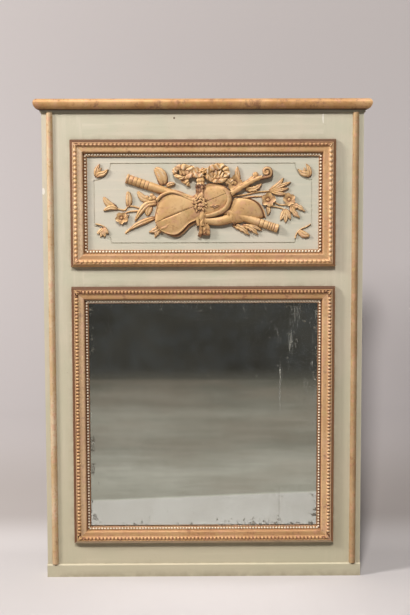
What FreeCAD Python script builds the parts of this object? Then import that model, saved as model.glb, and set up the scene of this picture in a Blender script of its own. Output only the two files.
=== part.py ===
import FreeCAD, Part
import math
import os

import Sketcher

# Trumeau mirror: a tall painted panel with a carved trophy above a framed mirror, under a half-round
# cornice. Millimetres, +Z up, the front faces -Y. The origin is the middle of the overall box, at the floor.

DIMENSIONS = {
    # carcass
    "body_width": 980,
    "body_height": 1442,
    "carcass_depth": 50,
    "face_thickness": 22,
    "side_thickness": 20,
    "plinth_height": 41,
    "plinth_overhang": 1,
    "plinth_projection": 5,
    "plinth_bevel": 4,
    "foot_batten_height": 45,
    "dust_board_thickness": 18,
    # joints of the face frame
    "tenon_length": 60,
    "tenon_thickness": 8,
    "tenon_shoulder": 18,
    "mortise_clearance": 0.25,
    "peg_radius": 4,
    "peg_inset": 24,
    "peg_level_inset": 32,
    # cornice
    "cornice_overhang": 23,
    "cornice_height": 34,
    "cornice_top_radius": 12,
    "cornice_neck": 5.5,
    "fillet_height": 7,
    "fillet_overhang": 4,
    # gilded mouldings down both edges
    "side_moulding_inset": 15,
    "side_moulding_width": 19,
    "side_moulding_edge": 1.5,
    "side_moulding_rise": 7.5,
    "pin_radius": 0.9,
    "pin_length": 22,
    "pin_sink": 1,
    "pin_end_distance": 60,
    # gilded frames
    "frame_side_margin": 85.5,
    "panel_frame_top_margin": 81,
    "panel_frame_height": 387,
    "frame_gap": 61,
    "mirror_frame_bottom_margin": 68,
    "frame_width": 51.5,
    "frame_overlap": 14,
    "frame_edge_height": 9.5,
    "frame_slope_width": 11,
    "leaf_row_width": 10.5,
    "leaf_row_base": 17,
    "leaf_row_rise": 4,
    "frame_flat_height": 14.6,
    "frame_flat_step": 1.5,
    "bead_width": 9,
    "bead_base": 5,
    "bead_rise": 4,
    "frame_lip": 1,
    "frame_lip_height": 4.2,
    # carved panel
    "opening_clearance": 1,
    "line_inset": 21,
    "line_width": 3,
    "line_depth": 2,
    "line_corner_radius": 51,
    "panel_batten_height": 50,
    "panel_batten_thickness": 12,
    "panel_batten_bearing": 60,
    "batten_nail_radius": 1.5,
    "batten_nail_length": 24,
    # heights of the carving above the panel
    "spray_height": 9,
    "flute_radius": 13,
    "flute_ring_rise": 1.5,
    "flute_end_ring_width": 8,
    "flute_ring_distance": 34,
    "flute_ring_width": 6,
    "flute_axis_height": 1,
    "horn_height": 15,
    "horn_tube_radius": 13,
    "horn_tube_length": 84,
    "violin_height": 18,
    "violin_lower_radius": 69,
    "violin_upper_radius": 50,
    "violin_centre_distance": 125,
    "violin_waist_radius": 30,
    "neck_height": 16,
    "neck_width": 15,
    "neck_length": 133,
    "scroll_radius": 16,
    "tail_height": 16,
    "bow_height": 19,
    "knot_height": 22,
    "corner_leaf_length": 60,
    "corner_leaf_width": 24,
    "corner_leaf_height": 7,
    # mirror
    "glass_thickness": 4,
    "silvering_thickness": 0.3,
    "block_length": 45,
    "block_width": 12,
    "block_thickness": 11,
    # back
    "backboard_thickness": 10,
    "backboard_bearing": 10,
    "backboard_gap": 1.5,
    "backboard_floor_gap": 3,
    "nail_radius": 1.6,
    "nail_length": 28,
    "nail_end_distance": 45,
    "nail_edge_distance": 5,
    "hanging_rail_height": 90,
    "hanger_edge_distance": 170,
    "hanger_plate_width": 40,
    "hanger_plate_height": 76,
    "hanger_plate_thickness": 2.5,
    "keyhole_radius": 6,
    "keyhole_slot_radius": 3,
    "keyhole_slot_length": 16,
    "keyhole_pocket_depth": 10,
    "keyhole_pocket_margin": 2,
    "screw_radius": 2,
    "screw_length": 14,
    "screw_head_radius": 4,
    "screw_head_height": 2,
    "screw_edge_distance": 9,
}
BACKBOARDS = 4
PINS_PER_MOULDING = 6
BLOCKS_PER_SIDE = 4
BATTEN_NAIL_SHARES = (("inner", 0.3), ("outer", 0.75))

X = FreeCAD.Vector(1, 0, 0)
Y = FreeCAD.Vector(0, 1, 0)
Z = FreeCAD.Vector(0, 0, 1)
FRONT = -Y

doc = FreeCAD.newDocument("trumeau_mirror")
sheet = doc.addObject("Spreadsheet::Sheet", "sizes")
nodes = []


class Size:
    """A length that holds both its value and its formula in the sheet's names."""

    def __init__(self, value, formula):
        self.value = value
        self.formula = formula

    def __add__(self, other):
        other = as_size(other)
        return Size(self.value + other.value, f"({self.formula} + {other.formula})")

    def __sub__(self, other):
        other = as_size(other)
        return Size(self.value - other.value, f"({self.formula} - {other.formula})")

    def __rsub__(self, other):
        return as_size(other) - self

    def __mul__(self, other):
        other = as_size(other)
        return Size(self.value * other.value, f"({self.formula} * {other.formula})")

    def __truediv__(self, other):
        other = as_size(other)
        return Size(self.value / other.value, f"({self.formula} / {other.formula})")

    def __neg__(self):
        return self * -1

    __radd__ = __add__
    __rmul__ = __mul__


def as_size(number):
    if isinstance(number, Size):
        return number
    return Size(float(number), f"({float(number):.6f})")


def root(size):
    return Size(math.sqrt(size.value), f"sqrt({size.formula})")


def fill_sheet():
    """Write the dimensions into the sheet and return them as named sizes."""
    named = {}
    for row, (name, value) in enumerate(DIMENSIONS.items(), start=1):
        sheet.set(f"A{row}", name)
        sheet.set(f"B{row}", str(value))
        sheet.setAlias(f"B{row}", name)
        named[name] = Size(float(value), f"sizes.{name}")
    doc.recompute()
    return named


S = fill_sheet()


def bind(thing, path, size):
    """Tie a property to a size, through the sheet where the size is named there."""
    thing.setExpression(path, as_size(size).formula)


def place(thing, corner, along=X, up=Z):
    """Put the local origin at the corner, with local X along one direction and local Z up another."""
    turn = FreeCAD.Rotation(along, up.cross(along), up, "ZXY")
    base = FreeCAD.Vector(*(as_size(size).value for size in corner))
    thing.Placement = FreeCAD.Placement(base, turn)
    for letter, size in zip("xyz", corner):
        bind(thing, f"Placement.Base.{letter}", size)


def keep(thing, label):
    """Make this object one of the sub-parts."""
    thing.Label = label
    nodes.append(thing)
    return thing


def box(name, low, high):
    """A block between two opposite corners."""
    block = doc.addObject("Part::Box", name)
    for side, start, end in zip(("Length", "Width", "Height"), low, high):
        bind(block, side, as_size(end) - start)
    place(block, low)
    return block


def cylinder(name, radius, length, start, direction):
    rod = doc.addObject("Part::Cylinder", name)
    bind(rod, "Radius", radius)
    bind(rod, "Height", length)
    across = Z if abs(direction.z) < 0.5 else X
    place(rod, start, along=across, up=direction)
    return rod


def group(name, pieces):
    """Identical separate pieces in one node."""
    together = doc.addObject("Part::Compound", name)
    together.Links = pieces
    return together


def join(name, pieces):
    joined = doc.addObject("Part::MultiFuse", name)
    joined.Shapes = pieces
    return joined


def cut(name, blank, tools):
    """The blank with every tool taken out of it."""
    result = doc.addObject("Part::Cut", name)
    result.Base = blank
    result.Tool = tools[0] if len(tools) == 1 else join(f"{name}_tools", tools)
    return result


def arc_radius(half_chord, rise):
    """Radius of the arc that rises this much over this half chord."""
    half_chord = as_size(half_chord)
    return (half_chord * half_chord + rise * rise) / (2 * rise)


def arc_between(start, end, radius, turn):
    """Arc of less than half a circle. Turn 1 runs anticlockwise from start to end, and -1 clockwise."""
    first, last = (start, end) if turn > 0 else (end, start)
    chord = last - first
    reach = math.sqrt(max(radius ** 2 - (chord.Length / 2) ** 2, 0))
    centre = (first + last) * 0.5 + FreeCAD.Vector(-chord.y, chord.x, 0) * (reach / chord.Length)
    angles = [math.atan2(point.y - centre.y, point.x - centre.x) for point in (first, last)]
    return Part.ArcOfCircle(Part.Circle(centre, Z, radius), *angles)


def draw(sketch, outline):
    """Add a closed outline. Each step is (x, y) for a line to there, or (x, y, radius, turn) for an arc."""
    corners = [FreeCAD.Vector(as_size(step[0]).value, as_size(step[1]).value, 0) for step in outline]
    ends = []
    for index, step in enumerate(outline):
        start = corners[index - 1]
        end = corners[index]
        if len(step) == 2:
            edge = sketch.addGeometry(Part.LineSegment(start, end), False)
            turn = 1
        else:
            radius = as_size(step[2])
            turn = step[3]
            edge = sketch.addGeometry(arc_between(start, end, radius.value, turn), False)
            bind_constraint(sketch, ("Radius", edge), radius)
        ends.append((edge, 1, 2) if turn > 0 else (edge, 2, 1))
    for index, step in enumerate(outline):
        edge, _, finish = ends[index]
        following, begin, _ = ends[(index + 1) % len(ends)]
        sketch.addConstraint(Sketcher.Constraint("Coincident", edge, finish, following, begin))
        bind_constraint(sketch, ("DistanceX", edge, finish), step[0])
        bind_constraint(sketch, ("DistanceY", edge, finish), step[1])


def bind_constraint(sketch, target, size):
    size = as_size(size)
    index = sketch.addConstraint(Sketcher.Constraint(*target, size.value))
    if "sizes." in size.formula:
        sketch.setExpression(f"Constraints[{index}]", size.formula)


def sketch_on(body, role, name, outlines):
    """A sketch of closed outlines on one of the body's own origin planes."""
    sketch = body.newObject("Sketcher::SketchObject", name)
    plane = next(item for item in body.Origin.OriginFeatures if item.Role == role)
    sketch.AttachmentSupport = [(plane, "")]
    sketch.MapMode = "FlatFace"
    for outline in outlines:
        draw(sketch, outline)
    return sketch


def pad(body, sketch, length, side="One side"):
    feature = body.newObject("PartDesign::Pad", f"{body.Name}_pad")
    feature.Profile = sketch
    feature.SideType = side
    bind(feature, "Length", length)
    return feature


def moulding(name, profile, width, length, mitred_ends):
    """A straight moulding: X runs along it, Y from its outer edge inwards, Z up from its back."""
    body = doc.addObject("PartDesign::Body", name)
    pad(body, sketch_on(body, "YZ_Plane", f"{name}_profile", [profile]), length, "Symmetric")
    if mitred_ends:
        spare = 1
        wedges = []
        for end in mitred_ends:
            tip = end * (length / 2 + spare)
            heel = end * (length / 2 - width - spare)
            corners = [(tip, -spare), (tip, width + spare), (heel, width + spare)]
            wedges.append(corners if end > 0 else corners[::-1])
        mitre = body.newObject("PartDesign::Pocket", f"{name}_mitre")
        mitre.Profile = sketch_on(body, "XY_Plane", f"{name}_mitre_lines", wedges)
        mitre.SideType = "Symmetric"
        mitre.Type = "ThroughAll"
    return body


def carving(name, outline, height):
    """A flat carved piece: its outline in the plane of the panel, standing this far proud of it."""
    body = doc.addObject("PartDesign::Body", name)
    pad(body, sketch_on(body, "XY_Plane", f"{name}_outline", [outline]), height)
    return body


# ---- levels and planes that several pieces share ----

face = (S["cornice_overhang"] - S["carcass_depth"]) / 2
face_back = face + S["face_thickness"]
back = face + S["carcass_depth"]
half_width = S["body_width"] / 2
inner_half_width = half_width - S["side_thickness"]
half_frames = half_width - S["frame_side_margin"]
panel_frame_top = S["body_height"] - S["panel_frame_top_margin"]
panel_frame_bottom = panel_frame_top - S["panel_frame_height"]
mirror_frame_top = panel_frame_bottom - S["frame_gap"]
mirror_frame_bottom = S["plinth_height"] + S["mirror_frame_bottom_margin"]
border = S["frame_width"] - S["frame_overlap"]
half_opening = half_frames - border
panel_opening = (panel_frame_bottom + border, panel_frame_top - border)
mirror_opening = (mirror_frame_bottom + border, mirror_frame_top - border)
panel_middle = (panel_opening[0] + panel_opening[1]) / 2
cornice_base = S["body_height"] + S["fillet_height"]
backboard_front = back - S["backboard_thickness"]
rail_bottom = S["body_height"] - S["hanging_rail_height"]
SIDES = (("left", -1), ("right", 1))


# ---- face frame: two stiles, three rails, mortises, tenons and pegs ----

RAILS = (
    ("bottom_rail", S["plinth_height"], mirror_opening[0]),
    ("middle_rail", mirror_opening[1], panel_opening[0]),
    ("top_rail", panel_opening[1], S["body_height"]),
)
tenon_front = face + (S["face_thickness"] - S["tenon_thickness"]) / 2
tenon_back = tenon_front + S["tenon_thickness"]
stile_inner = half_opening


def tenon(name, side, low, high, slack):
    """The tongue at one end of a rail, or with slack the mortise that takes it."""
    inner = stile_inner - (1 if slack else 0)
    outer = stile_inner + S["tenon_length"] + slack
    ends = (inner, outer) if side > 0 else (-outer, -inner)
    bottom = low + S["tenon_shoulder"] - slack
    top = high - S["tenon_shoulder"] + slack
    return box(name, (ends[0], tenon_front - slack, bottom), (ends[1], tenon_back + slack, top))


pegs = []
for side_name, side in SIDES:
    for rail_name, low, high in RAILS:
        for place_name, level in (("low", low + S["peg_level_inset"]), ("high", high - S["peg_level_inset"])):
            start = (side * (stile_inner + S["peg_inset"]), face, level)
            name = f"peg_{rail_name}_{side_name}_{place_name}"
            pegs.append(cylinder(name, S["peg_radius"], S["face_thickness"], start, Y))
all_pegs = keep(group("peg_group", pegs), "frame_pegs")

for rail_name, low, high in RAILS:
    board = box(f"{rail_name}_board", (-stile_inner, face, low), (stile_inner, face_back, high))
    tongues = [tenon(f"{rail_name}_tenon_{name}", side, low, high, 0) for name, side in SIDES]
    blank = join(f"{rail_name}_blank", [board] + tongues)
    keep(cut(f"{rail_name}_cut", blank, [all_pegs]), rail_name)


# ---- gilded half-round mouldings down both edges, and their pins ----

moulding_profile = [
    (0, 0),
    (S["side_moulding_width"], 0),
    (S["side_moulding_width"], S["side_moulding_edge"]),
    (0, S["side_moulding_edge"], arc_radius(S["side_moulding_width"] / 2, S["side_moulding_rise"]), 1),
]
moulding_top = S["side_moulding_edge"] + S["side_moulding_rise"]
moulding_length = S["body_height"] - S["plinth_height"]
moulding_outer = half_width - S["side_moulding_inset"]
pin_run = moulding_length - 2 * S["pin_end_distance"]


def pin_row(name, side, sink):
    """The pins down one moulding, sunk a little, or with no sink the holes that they leave open."""
    row = []
    for number in range(PINS_PER_MOULDING):
        level = S["plinth_height"] + S["pin_end_distance"] + pin_run * (number / (PINS_PER_MOULDING - 1))
        start = (side * (moulding_outer - S["side_moulding_width"] / 2), face - moulding_top + sink, level)
        length = S["pin_length"] + S["pin_sink"] - sink
        row.append(cylinder(f"{name}_{number}", S["pin_radius"], length, start, Y))
    return row


pins = [pin for name, side in SIDES for pin in pin_row(f"pin_{name}", side, S["pin_sink"])]
all_pins = keep(group("pin_group", pins), "moulding_pins")

for side_name, side in SIDES:
    blank = moulding(f"side_moulding_{side_name}_blank", moulding_profile,
                     S["side_moulding_width"], moulding_length, ())
    middle = S["plinth_height"] + moulding_length / 2
    place(blank, (side * moulding_outer, face, middle), along=Z * side, up=FRONT)
    holes = pin_row(f"pin_hole_{side_name}", side, as_size(0))
    keep(cut(f"side_moulding_{side_name}_cut", blank, holes), f"side_moulding_{side_name}")


# ---- battens behind the carved panel, and their nails ----

batten_nails = []
batten_back = face_back + S["panel_batten_thickness"]
batten_end = half_opening + S["panel_batten_bearing"]
BATTENS = (("lower", panel_opening[0]), ("upper", panel_opening[1]))
for batten_name, level in BATTENS:
    for side_name, side in SIDES:
        for end_name, share in BATTEN_NAIL_SHARES:
            start = (side * (half_opening + S["panel_batten_bearing"] * share), batten_back, level)
            batten_nails.append(cylinder(f"batten_nail_{batten_name}_{side_name}_{end_name}",
                                         S["batten_nail_radius"], S["batten_nail_length"], start, -Y))
all_batten_nails = keep(group("batten_nail_group", batten_nails), "batten_nails")
for batten_name, level in BATTENS:
    half_height = S["panel_batten_height"] / 2
    board = box(f"panel_batten_{batten_name}_board", (-batten_end, face_back, level - half_height),
                (batten_end, batten_back, level + half_height))
    keep(cut(f"panel_batten_{batten_name}_cut", board, [all_batten_nails]), f"panel_batten_{batten_name}")


# ---- stiles ----

for side_name, side in SIDES:
    ends = (stile_inner, half_width) if side > 0 else (-half_width, -stile_inner)
    board = box(f"stile_{side_name}_board", (ends[0], face, S["plinth_height"]),
                (ends[1], face_back, S["body_height"]))
    mortises = [tenon(f"{rail_name}_mortise_{side_name}", side, low, high, S["mortise_clearance"])
                for rail_name, low, high in RAILS]
    keep(cut(f"stile_{side_name}_cut", board, mortises + [all_pegs, all_pins, all_batten_nails]),
         f"stile_{side_name}")


# ---- back: side boards, backboards, hanging rail, foot batten ----

board_run = rail_bottom - S["backboard_floor_gap"]
board_pitch = board_run / BACKBOARDS
nails = []
backboards = []
for number in range(BACKBOARDS):
    low = S["backboard_floor_gap"] + board_pitch * number
    high = low + board_pitch - S["backboard_gap"]
    reach = inner_half_width + S["backboard_bearing"] - S["backboard_gap"]
    backboards.append(box(f"backboard_{number + 1}_board", (-reach, backboard_front, low), (reach, back, high)))
    for side_name, side in SIDES:
        for end_name, level in (("low", low + S["nail_end_distance"]), ("high", high - S["nail_end_distance"])):
            start = (side * (inner_half_width + S["nail_edge_distance"]), back, level)
            nails.append(cylinder(f"nail_{number + 1}_{side_name}_{end_name}",
                                  S["nail_radius"], S["nail_length"], start, -Y))
all_nails = keep(group("nail_group", nails), "backboard_nails")
for number, board in enumerate(backboards, start=1):
    keep(cut(f"backboard_{number}_cut", board, [all_nails]), f"backboard_{number}")

for side_name, side in SIDES:
    ends = (inner_half_width, half_width) if side > 0 else (-half_width, -inner_half_width)
    board = box(f"side_board_{side_name}_board", (ends[0], face_back, 0), (ends[1], back, S["body_height"]))
    rebate_end = inner_half_width + S["backboard_bearing"]
    rebate_x = (inner_half_width - 1, rebate_end) if side > 0 else (-rebate_end, 1 - inner_half_width)
    rebate = box(f"side_board_{side_name}_rebate", (rebate_x[0], backboard_front, -1),
                 (rebate_x[1], back + 1, rail_bottom))
    keep(cut(f"side_board_{side_name}_cut", board, [rebate, all_nails]), f"side_board_{side_name}")

keep(box("foot_batten_board", (-inner_half_width, face_back, 0),
         (inner_half_width, backboard_front, S["foot_batten_height"])), "foot_batten")


# ---- hanging rail, keyhole plates and their screws ----

plate_back = back
plate_front = back - S["hanger_plate_thickness"]
plate_middle = rail_bottom + S["hanging_rail_height"] / 2
screws = []
recesses = []
plates = []
for side_name, side in SIDES:
    centre = side * (half_width - S["hanger_edge_distance"])
    half_plate = S["hanger_plate_width"] / 2
    low = (centre - half_plate, plate_front, plate_middle - S["hanger_plate_height"] / 2)
    high = (centre + half_plate, plate_back, plate_middle + S["hanger_plate_height"] / 2)
    plate = box(f"hanger_plate_{side_name}_blank", low, high)
    recesses.append(box(f"hanger_recess_{side_name}", low, (high[0], high[1] + 1, high[2])))
    entry_level = plate_middle - S["keyhole_slot_length"] / 2
    slot_level = plate_middle + S["keyhole_slot_length"] / 2
    through = S["hanger_plate_thickness"] + 2
    entry = cylinder(f"keyhole_entry_{side_name}", S["keyhole_radius"], through,
                     (centre, plate_back + 1, entry_level), -Y)
    slot_end = cylinder(f"keyhole_end_{side_name}", S["keyhole_slot_radius"], through,
                        (centre, plate_back + 1, slot_level), -Y)
    slot = box(f"keyhole_slot_{side_name}",
               (centre - S["keyhole_slot_radius"], plate_front - 1, entry_level),
               (centre + S["keyhole_slot_radius"], plate_back + 1, slot_level))
    half_pocket = S["keyhole_radius"] + S["keyhole_pocket_margin"]
    recesses.append(box(f"keyhole_pocket_{side_name}",
                        (centre - half_pocket, plate_front - S["keyhole_pocket_depth"], entry_level - half_pocket),
                        (centre + half_pocket, plate_front + 1, slot_level + half_pocket)))
    for end_name, end in (("low", -1), ("high", 1)):
        level = plate_middle + end * (S["hanger_plate_height"] / 2 - S["screw_edge_distance"])
        shank = cylinder(f"screw_shank_{side_name}_{end_name}", S["screw_radius"], S["screw_length"],
                         (centre, plate_back, level), -Y)
        head = doc.addObject("Part::Cone", f"screw_head_{side_name}_{end_name}")
        bind(head, "Radius1", S["screw_head_radius"])
        bind(head, "Radius2", S["screw_radius"])
        bind(head, "Height", S["screw_head_height"])
        place(head, (centre, plate_back, level), along=X, up=-Y)
        screws.append(join(f"screw_{side_name}_{end_name}", [shank, head]))
    plates.append((side_name, plate, [entry, slot_end, slot]))
all_screws = keep(group("screw_group", screws), "hanger_screws")
for side_name, plate, openings in plates:
    keep(cut(f"hanger_plate_{side_name}_cut", plate, openings + [all_screws]), f"hanger_plate_{side_name}")
rail = box("hanging_rail_board", (-inner_half_width, batten_back, rail_bottom),
           (inner_half_width, back, S["body_height"]))
keep(cut("hanging_rail_cut", rail, recesses + [all_screws]), "hanging_rail")


# ---- plinth, dust board and cornice ----

plinth_half = half_width + S["plinth_overhang"]
plinth_depth = S["plinth_projection"] + S["face_thickness"]
plinth_profile = [
    (0, 0),
    (S["plinth_height"], 0),
    (S["plinth_height"], plinth_depth - S["plinth_bevel"]),
    (S["plinth_height"] - S["plinth_bevel"], plinth_depth),
    (0, plinth_depth),
]
plinth = moulding("plinth", plinth_profile, S["plinth_height"], plinth_half * 2, ())
place(plinth, (0, face_back, 0), along=X, up=FRONT)
keep(plinth, "plinth_board")
cap_inner = half_width - S["face_thickness"]
keep(box("dust", (-cap_inner, face_back, S["body_height"]),
         (cap_inner, back, S["body_height"] + S["dust_board_thickness"])), "dust_board")


def capping(base_name, piece_names, profile, overhang, level):
    """A moulding along the front and back along both sides, mitred at the front corners."""
    width = overhang + S["face_thickness"]
    front_piece = moulding(base_name, profile, width, S["body_width"] + 2 * overhang, (-1, 1))
    place(front_piece, (0, face - overhang, level), along=X, up=Z)
    keep(front_piece, piece_names["front"])
    length = overhang + S["carcass_depth"]
    for side_name, side in SIDES:
        piece = moulding(f"{base_name}_{side_name}", profile, width, length, (-side,))
        place(piece, (side * (half_width + overhang), face - overhang + length / 2, level), along=Y * side, up=Z)
        keep(piece, piece_names[side_name])


cornice_width = S["cornice_overhang"] + S["face_thickness"]
neck = S["cornice_overhang"] - S["cornice_neck"]
tip_level = S["cornice_height"] - S["cornice_top_radius"]
cornice_profile = [
    (neck, 0, (neck * neck + tip_level * tip_level) / (2 * neck), 1),
    (cornice_width, 0),
    (cornice_width, S["cornice_height"]),
    (S["cornice_top_radius"], S["cornice_height"]),
    (0, tip_level, S["cornice_top_radius"], 1),
]
fillet_width = S["fillet_overhang"] + S["face_thickness"]
fillet_profile = [(0, 0), (fillet_width, 0), (fillet_width, S["fillet_height"]), (0, S["fillet_height"])]
capping("cornice", {"front": "cornice_front", "left": "cornice_return_left", "right": "cornice_return_right"},
        cornice_profile, S["cornice_overhang"], cornice_base)
capping("fillet", {"front": "cornice_fillet_front", "left": "cornice_fillet_left",
                   "right": "cornice_fillet_right"},
        fillet_profile, S["fillet_overhang"], S["body_height"])


# ---- gilded frames round the carved panel and the mirror ----

bead_outer = S["frame_width"] - S["frame_lip"] - S["bead_width"]
row_inner = S["frame_slope_width"] + S["leaf_row_width"]
frame_profile = [
    (0, 0),
    (S["frame_width"], 0),
    (S["frame_width"], S["frame_lip_height"]),
    (S["frame_width"] - S["frame_lip"], S["bead_base"]),
    (bead_outer, S["bead_base"], arc_radius(S["bead_width"] / 2, S["bead_rise"]), 1),
    (bead_outer, S["frame_flat_height"]),
    (row_inner + S["frame_flat_step"], S["frame_flat_height"]),
    (row_inner, S["leaf_row_base"]),
    (S["frame_slope_width"], S["leaf_row_base"], arc_radius(S["leaf_row_width"] / 2, S["leaf_row_rise"]), 1),
    (0, S["frame_edge_height"]),
]
for frame_name, low, high in (("panel_frame", panel_frame_bottom, panel_frame_top),
                              ("mirror_frame", mirror_frame_bottom, mirror_frame_top)):
    middle = (low + high) / 2
    height = high - low
    members = (
        ("bottom", half_frames * 2, (0, face, low), X),
        ("top", half_frames * 2, (0, face, high), -X),
        ("left", height, (-half_frames, face, middle), -Z),
        ("right", height, (half_frames, face, middle), Z),
    )
    for member_name, length, centre, along in members:
        name = f"{frame_name}_{member_name}"
        member = moulding(f"{name}_body", frame_profile, S["frame_width"], length, (-1, 1))
        place(member, centre, along=along, up=FRONT)
        keep(member, name)


# ---- carved panel with its incised line ----

half_panel = half_opening - S["opening_clearance"]
half_panel_height = (panel_opening[1] - panel_opening[0]) / 2 - S["opening_clearance"]
sight_inset = S["frame_overlap"] - S["opening_clearance"] + S["line_inset"]
line_x = half_panel - sight_inset
line_z = half_panel_height - sight_inset


def incised_edge(offset):
    """One edge of the incised line: a rectangle with hollow quarter-round corners, moved out by the offset."""
    radius = S["line_corner_radius"] - offset
    reach = root(radius * radius - offset * offset)
    far_x = line_x + offset
    far_z = line_z + offset
    near_x = line_x - reach
    near_z = line_z - reach
    return [
        (near_x, -far_z),
        (far_x, -near_z, radius, -1),
        (far_x, near_z),
        (near_x, far_z, radius, -1),
        (-near_x, far_z),
        (-far_x, near_z, radius, -1),
        (-far_x, -near_z),
        (-near_x, -far_z, radius, -1),
    ]


panel = doc.addObject("PartDesign::Body", "relief_panel_body")
rectangle = [(-half_panel, -half_panel_height), (half_panel, -half_panel_height),
             (half_panel, half_panel_height), (-half_panel, half_panel_height)]
slab = pad(panel, sketch_on(panel, "XY_Plane", "relief_panel_outline", [rectangle]), S["face_thickness"])
slab.Reversed = True
incision = panel.newObject("PartDesign::Pocket", "incised_line")
incision.Profile = sketch_on(panel, "XY_Plane", "incised_line_edges",
                             [incised_edge(S["line_width"] / 2), incised_edge(-S["line_width"] / 2)])
bind(incision, "Length", S["line_depth"])
place(panel, (0, face, panel_middle), along=X, up=FRONT)
keep(panel, "relief_panel")


# ---- the carved trophy: each upper piece is hollowed over the pieces that it lies on ----

# Points of the carving are measured from the middle of the panel: x to the right, z upwards. They and the
# sizes of the instruments are drawn for a field of this half width, from the middle to the incised line, and
# fill it at any size.
DRAWN_HALF_FIELD = 332
FLUTE_ENDS = ((-234, 77), (226, -76))
HORN_MOUTHPIECE = (8, -53)
HORN_BELL = [(82, -34), (113, 14), (196, -46, 84, -1), (160, -45), (122, -58), (92, -64)]
VIOLIN_CENTRE = (-82, -28)
VIOLIN_ANGLE = 19.5
VIOLIN_LOWER_JOINT = 48
VIOLIN_UPPER_JOINT = 130
NECK_START = (80, 26)
NECK_ANGLE = 31.2
KNOT = [(-4, 0, 15, 27), (-5, 41, 17, 20), (-7, -44, 17, 24)]
BOW_LOOPS = [(-52, 90, 45, 26), (46, 91, 35, 27)]
BOW_BAND = 11
BOW_HEART = (0, 95, 15, 17)
TAILS = [((-8, -58), (-2, -104), 24), ((2, -58), (14, -98), 20)]

LEFT_STEMS = [
    [(-137, 1), (-162, -2), (-183, -11), (-195, -32), (-209, -52)],
    [(-183, -11), (-232, -23), (-262, -18)],
    [(-147, -44), (-187, -56), (-214, -72), (-236, -87)],
    [(-195, -32), (-187, -56)],
    [(-162, -2), (-190, 14)],
    [(-232, -23), (-228, 8)],
    [(-137, 1), (-143, -42)],
]
LEFT_LEAVES = [
    ((-153, 0), (-204, 36), 20),
    ((-229, -10), (-238, 40), 16),
    ((-258, -18), (-308, 16), 20),
    ((-258, -18), (-286, 30), 17),
    ((-160, -30), (-182, -4), 13),
    ((-205, -48), (-243, -92), 20),
]
LEFT_FLOWERS = [(-247, -39, 21)]
RIGHT_STEMS = [
    [(84, 25), (122, 23), (161, 37), (204, 38), (241, 49)],
    [(97, 20), (180, 20), (198, 16), (219, 0), (265, -6), (298, -30)],
    [(113, 58), (140, 78), (161, 91)],
    [(113, 58), (104, 24)],
    [(204, -2), (240, -30)],
]
RIGHT_LEAVES = [
    ((104, 66), (106, 110), 16),
    ((122, 26), (150, 60), 17),
    ((165, 36), (186, 60), 15),
    ((204, 38), (208, 72), 18),
    ((240, 40), (272, 30), 17),
    ((240, 45), (262, 66), 15),
    ((200, 0), (196, -34), 12),
    ((240, -12), (262, -56), 20),
    ((290, -8), (313, -44), 18),
]
RIGHT_FLOWERS = [(97, 60, 20), (200, 14, 20), (266, 10, 18)]
UPPER_LEAF = [((-152, 56), (-117, 107), 22)]
LOWER_STEMS = [[(92, -71), (130, -68)]]
LOWER_LEAVES = [((92, -70), (146, -98), 18), ((128, -68), (170, -98), 17)]
CORNER_BLADES = ((-38, 0.8), (0, 1), (38, 0.8))
STEM_WIDTH = 5


field_share = line_x / DRAWN_HALF_FIELD


def at(point):
    """Where a point of the carving lies, on the face of the panel."""
    return (field_share * point[0], face, panel_middle + field_share * point[1])


def direction(degrees):
    angle = math.radians(degrees)
    return FreeCAD.Vector(math.cos(angle), 0, math.sin(angle))


def flat(point):
    return FreeCAD.Vector(point[0], point[1], 0)


def ellipse_face(centre_x, centre_z, reach_x, reach_z):
    wide = reach_x >= reach_z
    ellipse = Part.Ellipse(flat((0, 0)), max(reach_x, reach_z), min(reach_x, reach_z))
    face_shape = Part.Face(Part.Wire(ellipse.toShape()))
    if not wide:
        face_shape.rotate(flat((0, 0)), Z, 90)
    face_shape.translate(flat((centre_x, centre_z)))
    return face_shape


def leaf_face(root_point, tip_point, width):
    """A pointed leaf between two arcs."""
    root_end = flat(root_point)
    tip_end = flat(tip_point)
    run = tip_end - root_end
    across = FreeCAD.Vector(-run.y, run.x, 0) * (width / 2 / run.Length)
    middle = (root_end + tip_end) * 0.5
    edges = [Part.Arc(root_end, middle - across, tip_end).toShape(),
             Part.Arc(tip_end, middle + across, root_end).toShape()]
    return Part.Face(Part.Wire(edges))


def stem_faces(points):
    """A stem along a line of points: a strip for each stretch and a disc at each point."""
    faces = [ellipse_face(x, z, STEM_WIDTH / 2, STEM_WIDTH / 2) for x, z in points]
    for start, end in zip(points, points[1:]):
        run = flat(end) - flat(start)
        across = FreeCAD.Vector(-run.y, run.x, 0) * (STEM_WIDTH / 2 / run.Length)
        corners = [flat(start) - across, flat(end) - across, flat(end) + across, flat(start) + across]
        faces.append(Part.Face(Part.makePolygon(corners + corners[:1])))
    return faces


def relief(name, faces, height):
    """A carved piece made of flat shapes, fused and raised to its height above the panel."""
    rise = Z * S[height].value
    solids = [shape.scaled(field_share.value).extrude(rise) for shape in faces]
    piece = doc.addObject("Part::Feature", name)
    fused = solids[0].multiFuse(solids[1:]) if len(solids) > 1 else solids[0]
    piece.Shape = fused.removeSplitter()
    place(piece, at((0, 0)), along=X, up=FRONT)
    return piece


def spray(name, stems, leaves, flowers):
    faces = [shape for points in stems for shape in stem_faces(points)]
    faces += [leaf_face(*leaf) for leaf in leaves]
    faces += [ellipse_face(x, z, radius, radius) for x, z, radius in flowers]
    return relief(name, faces, "spray_height")


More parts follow.
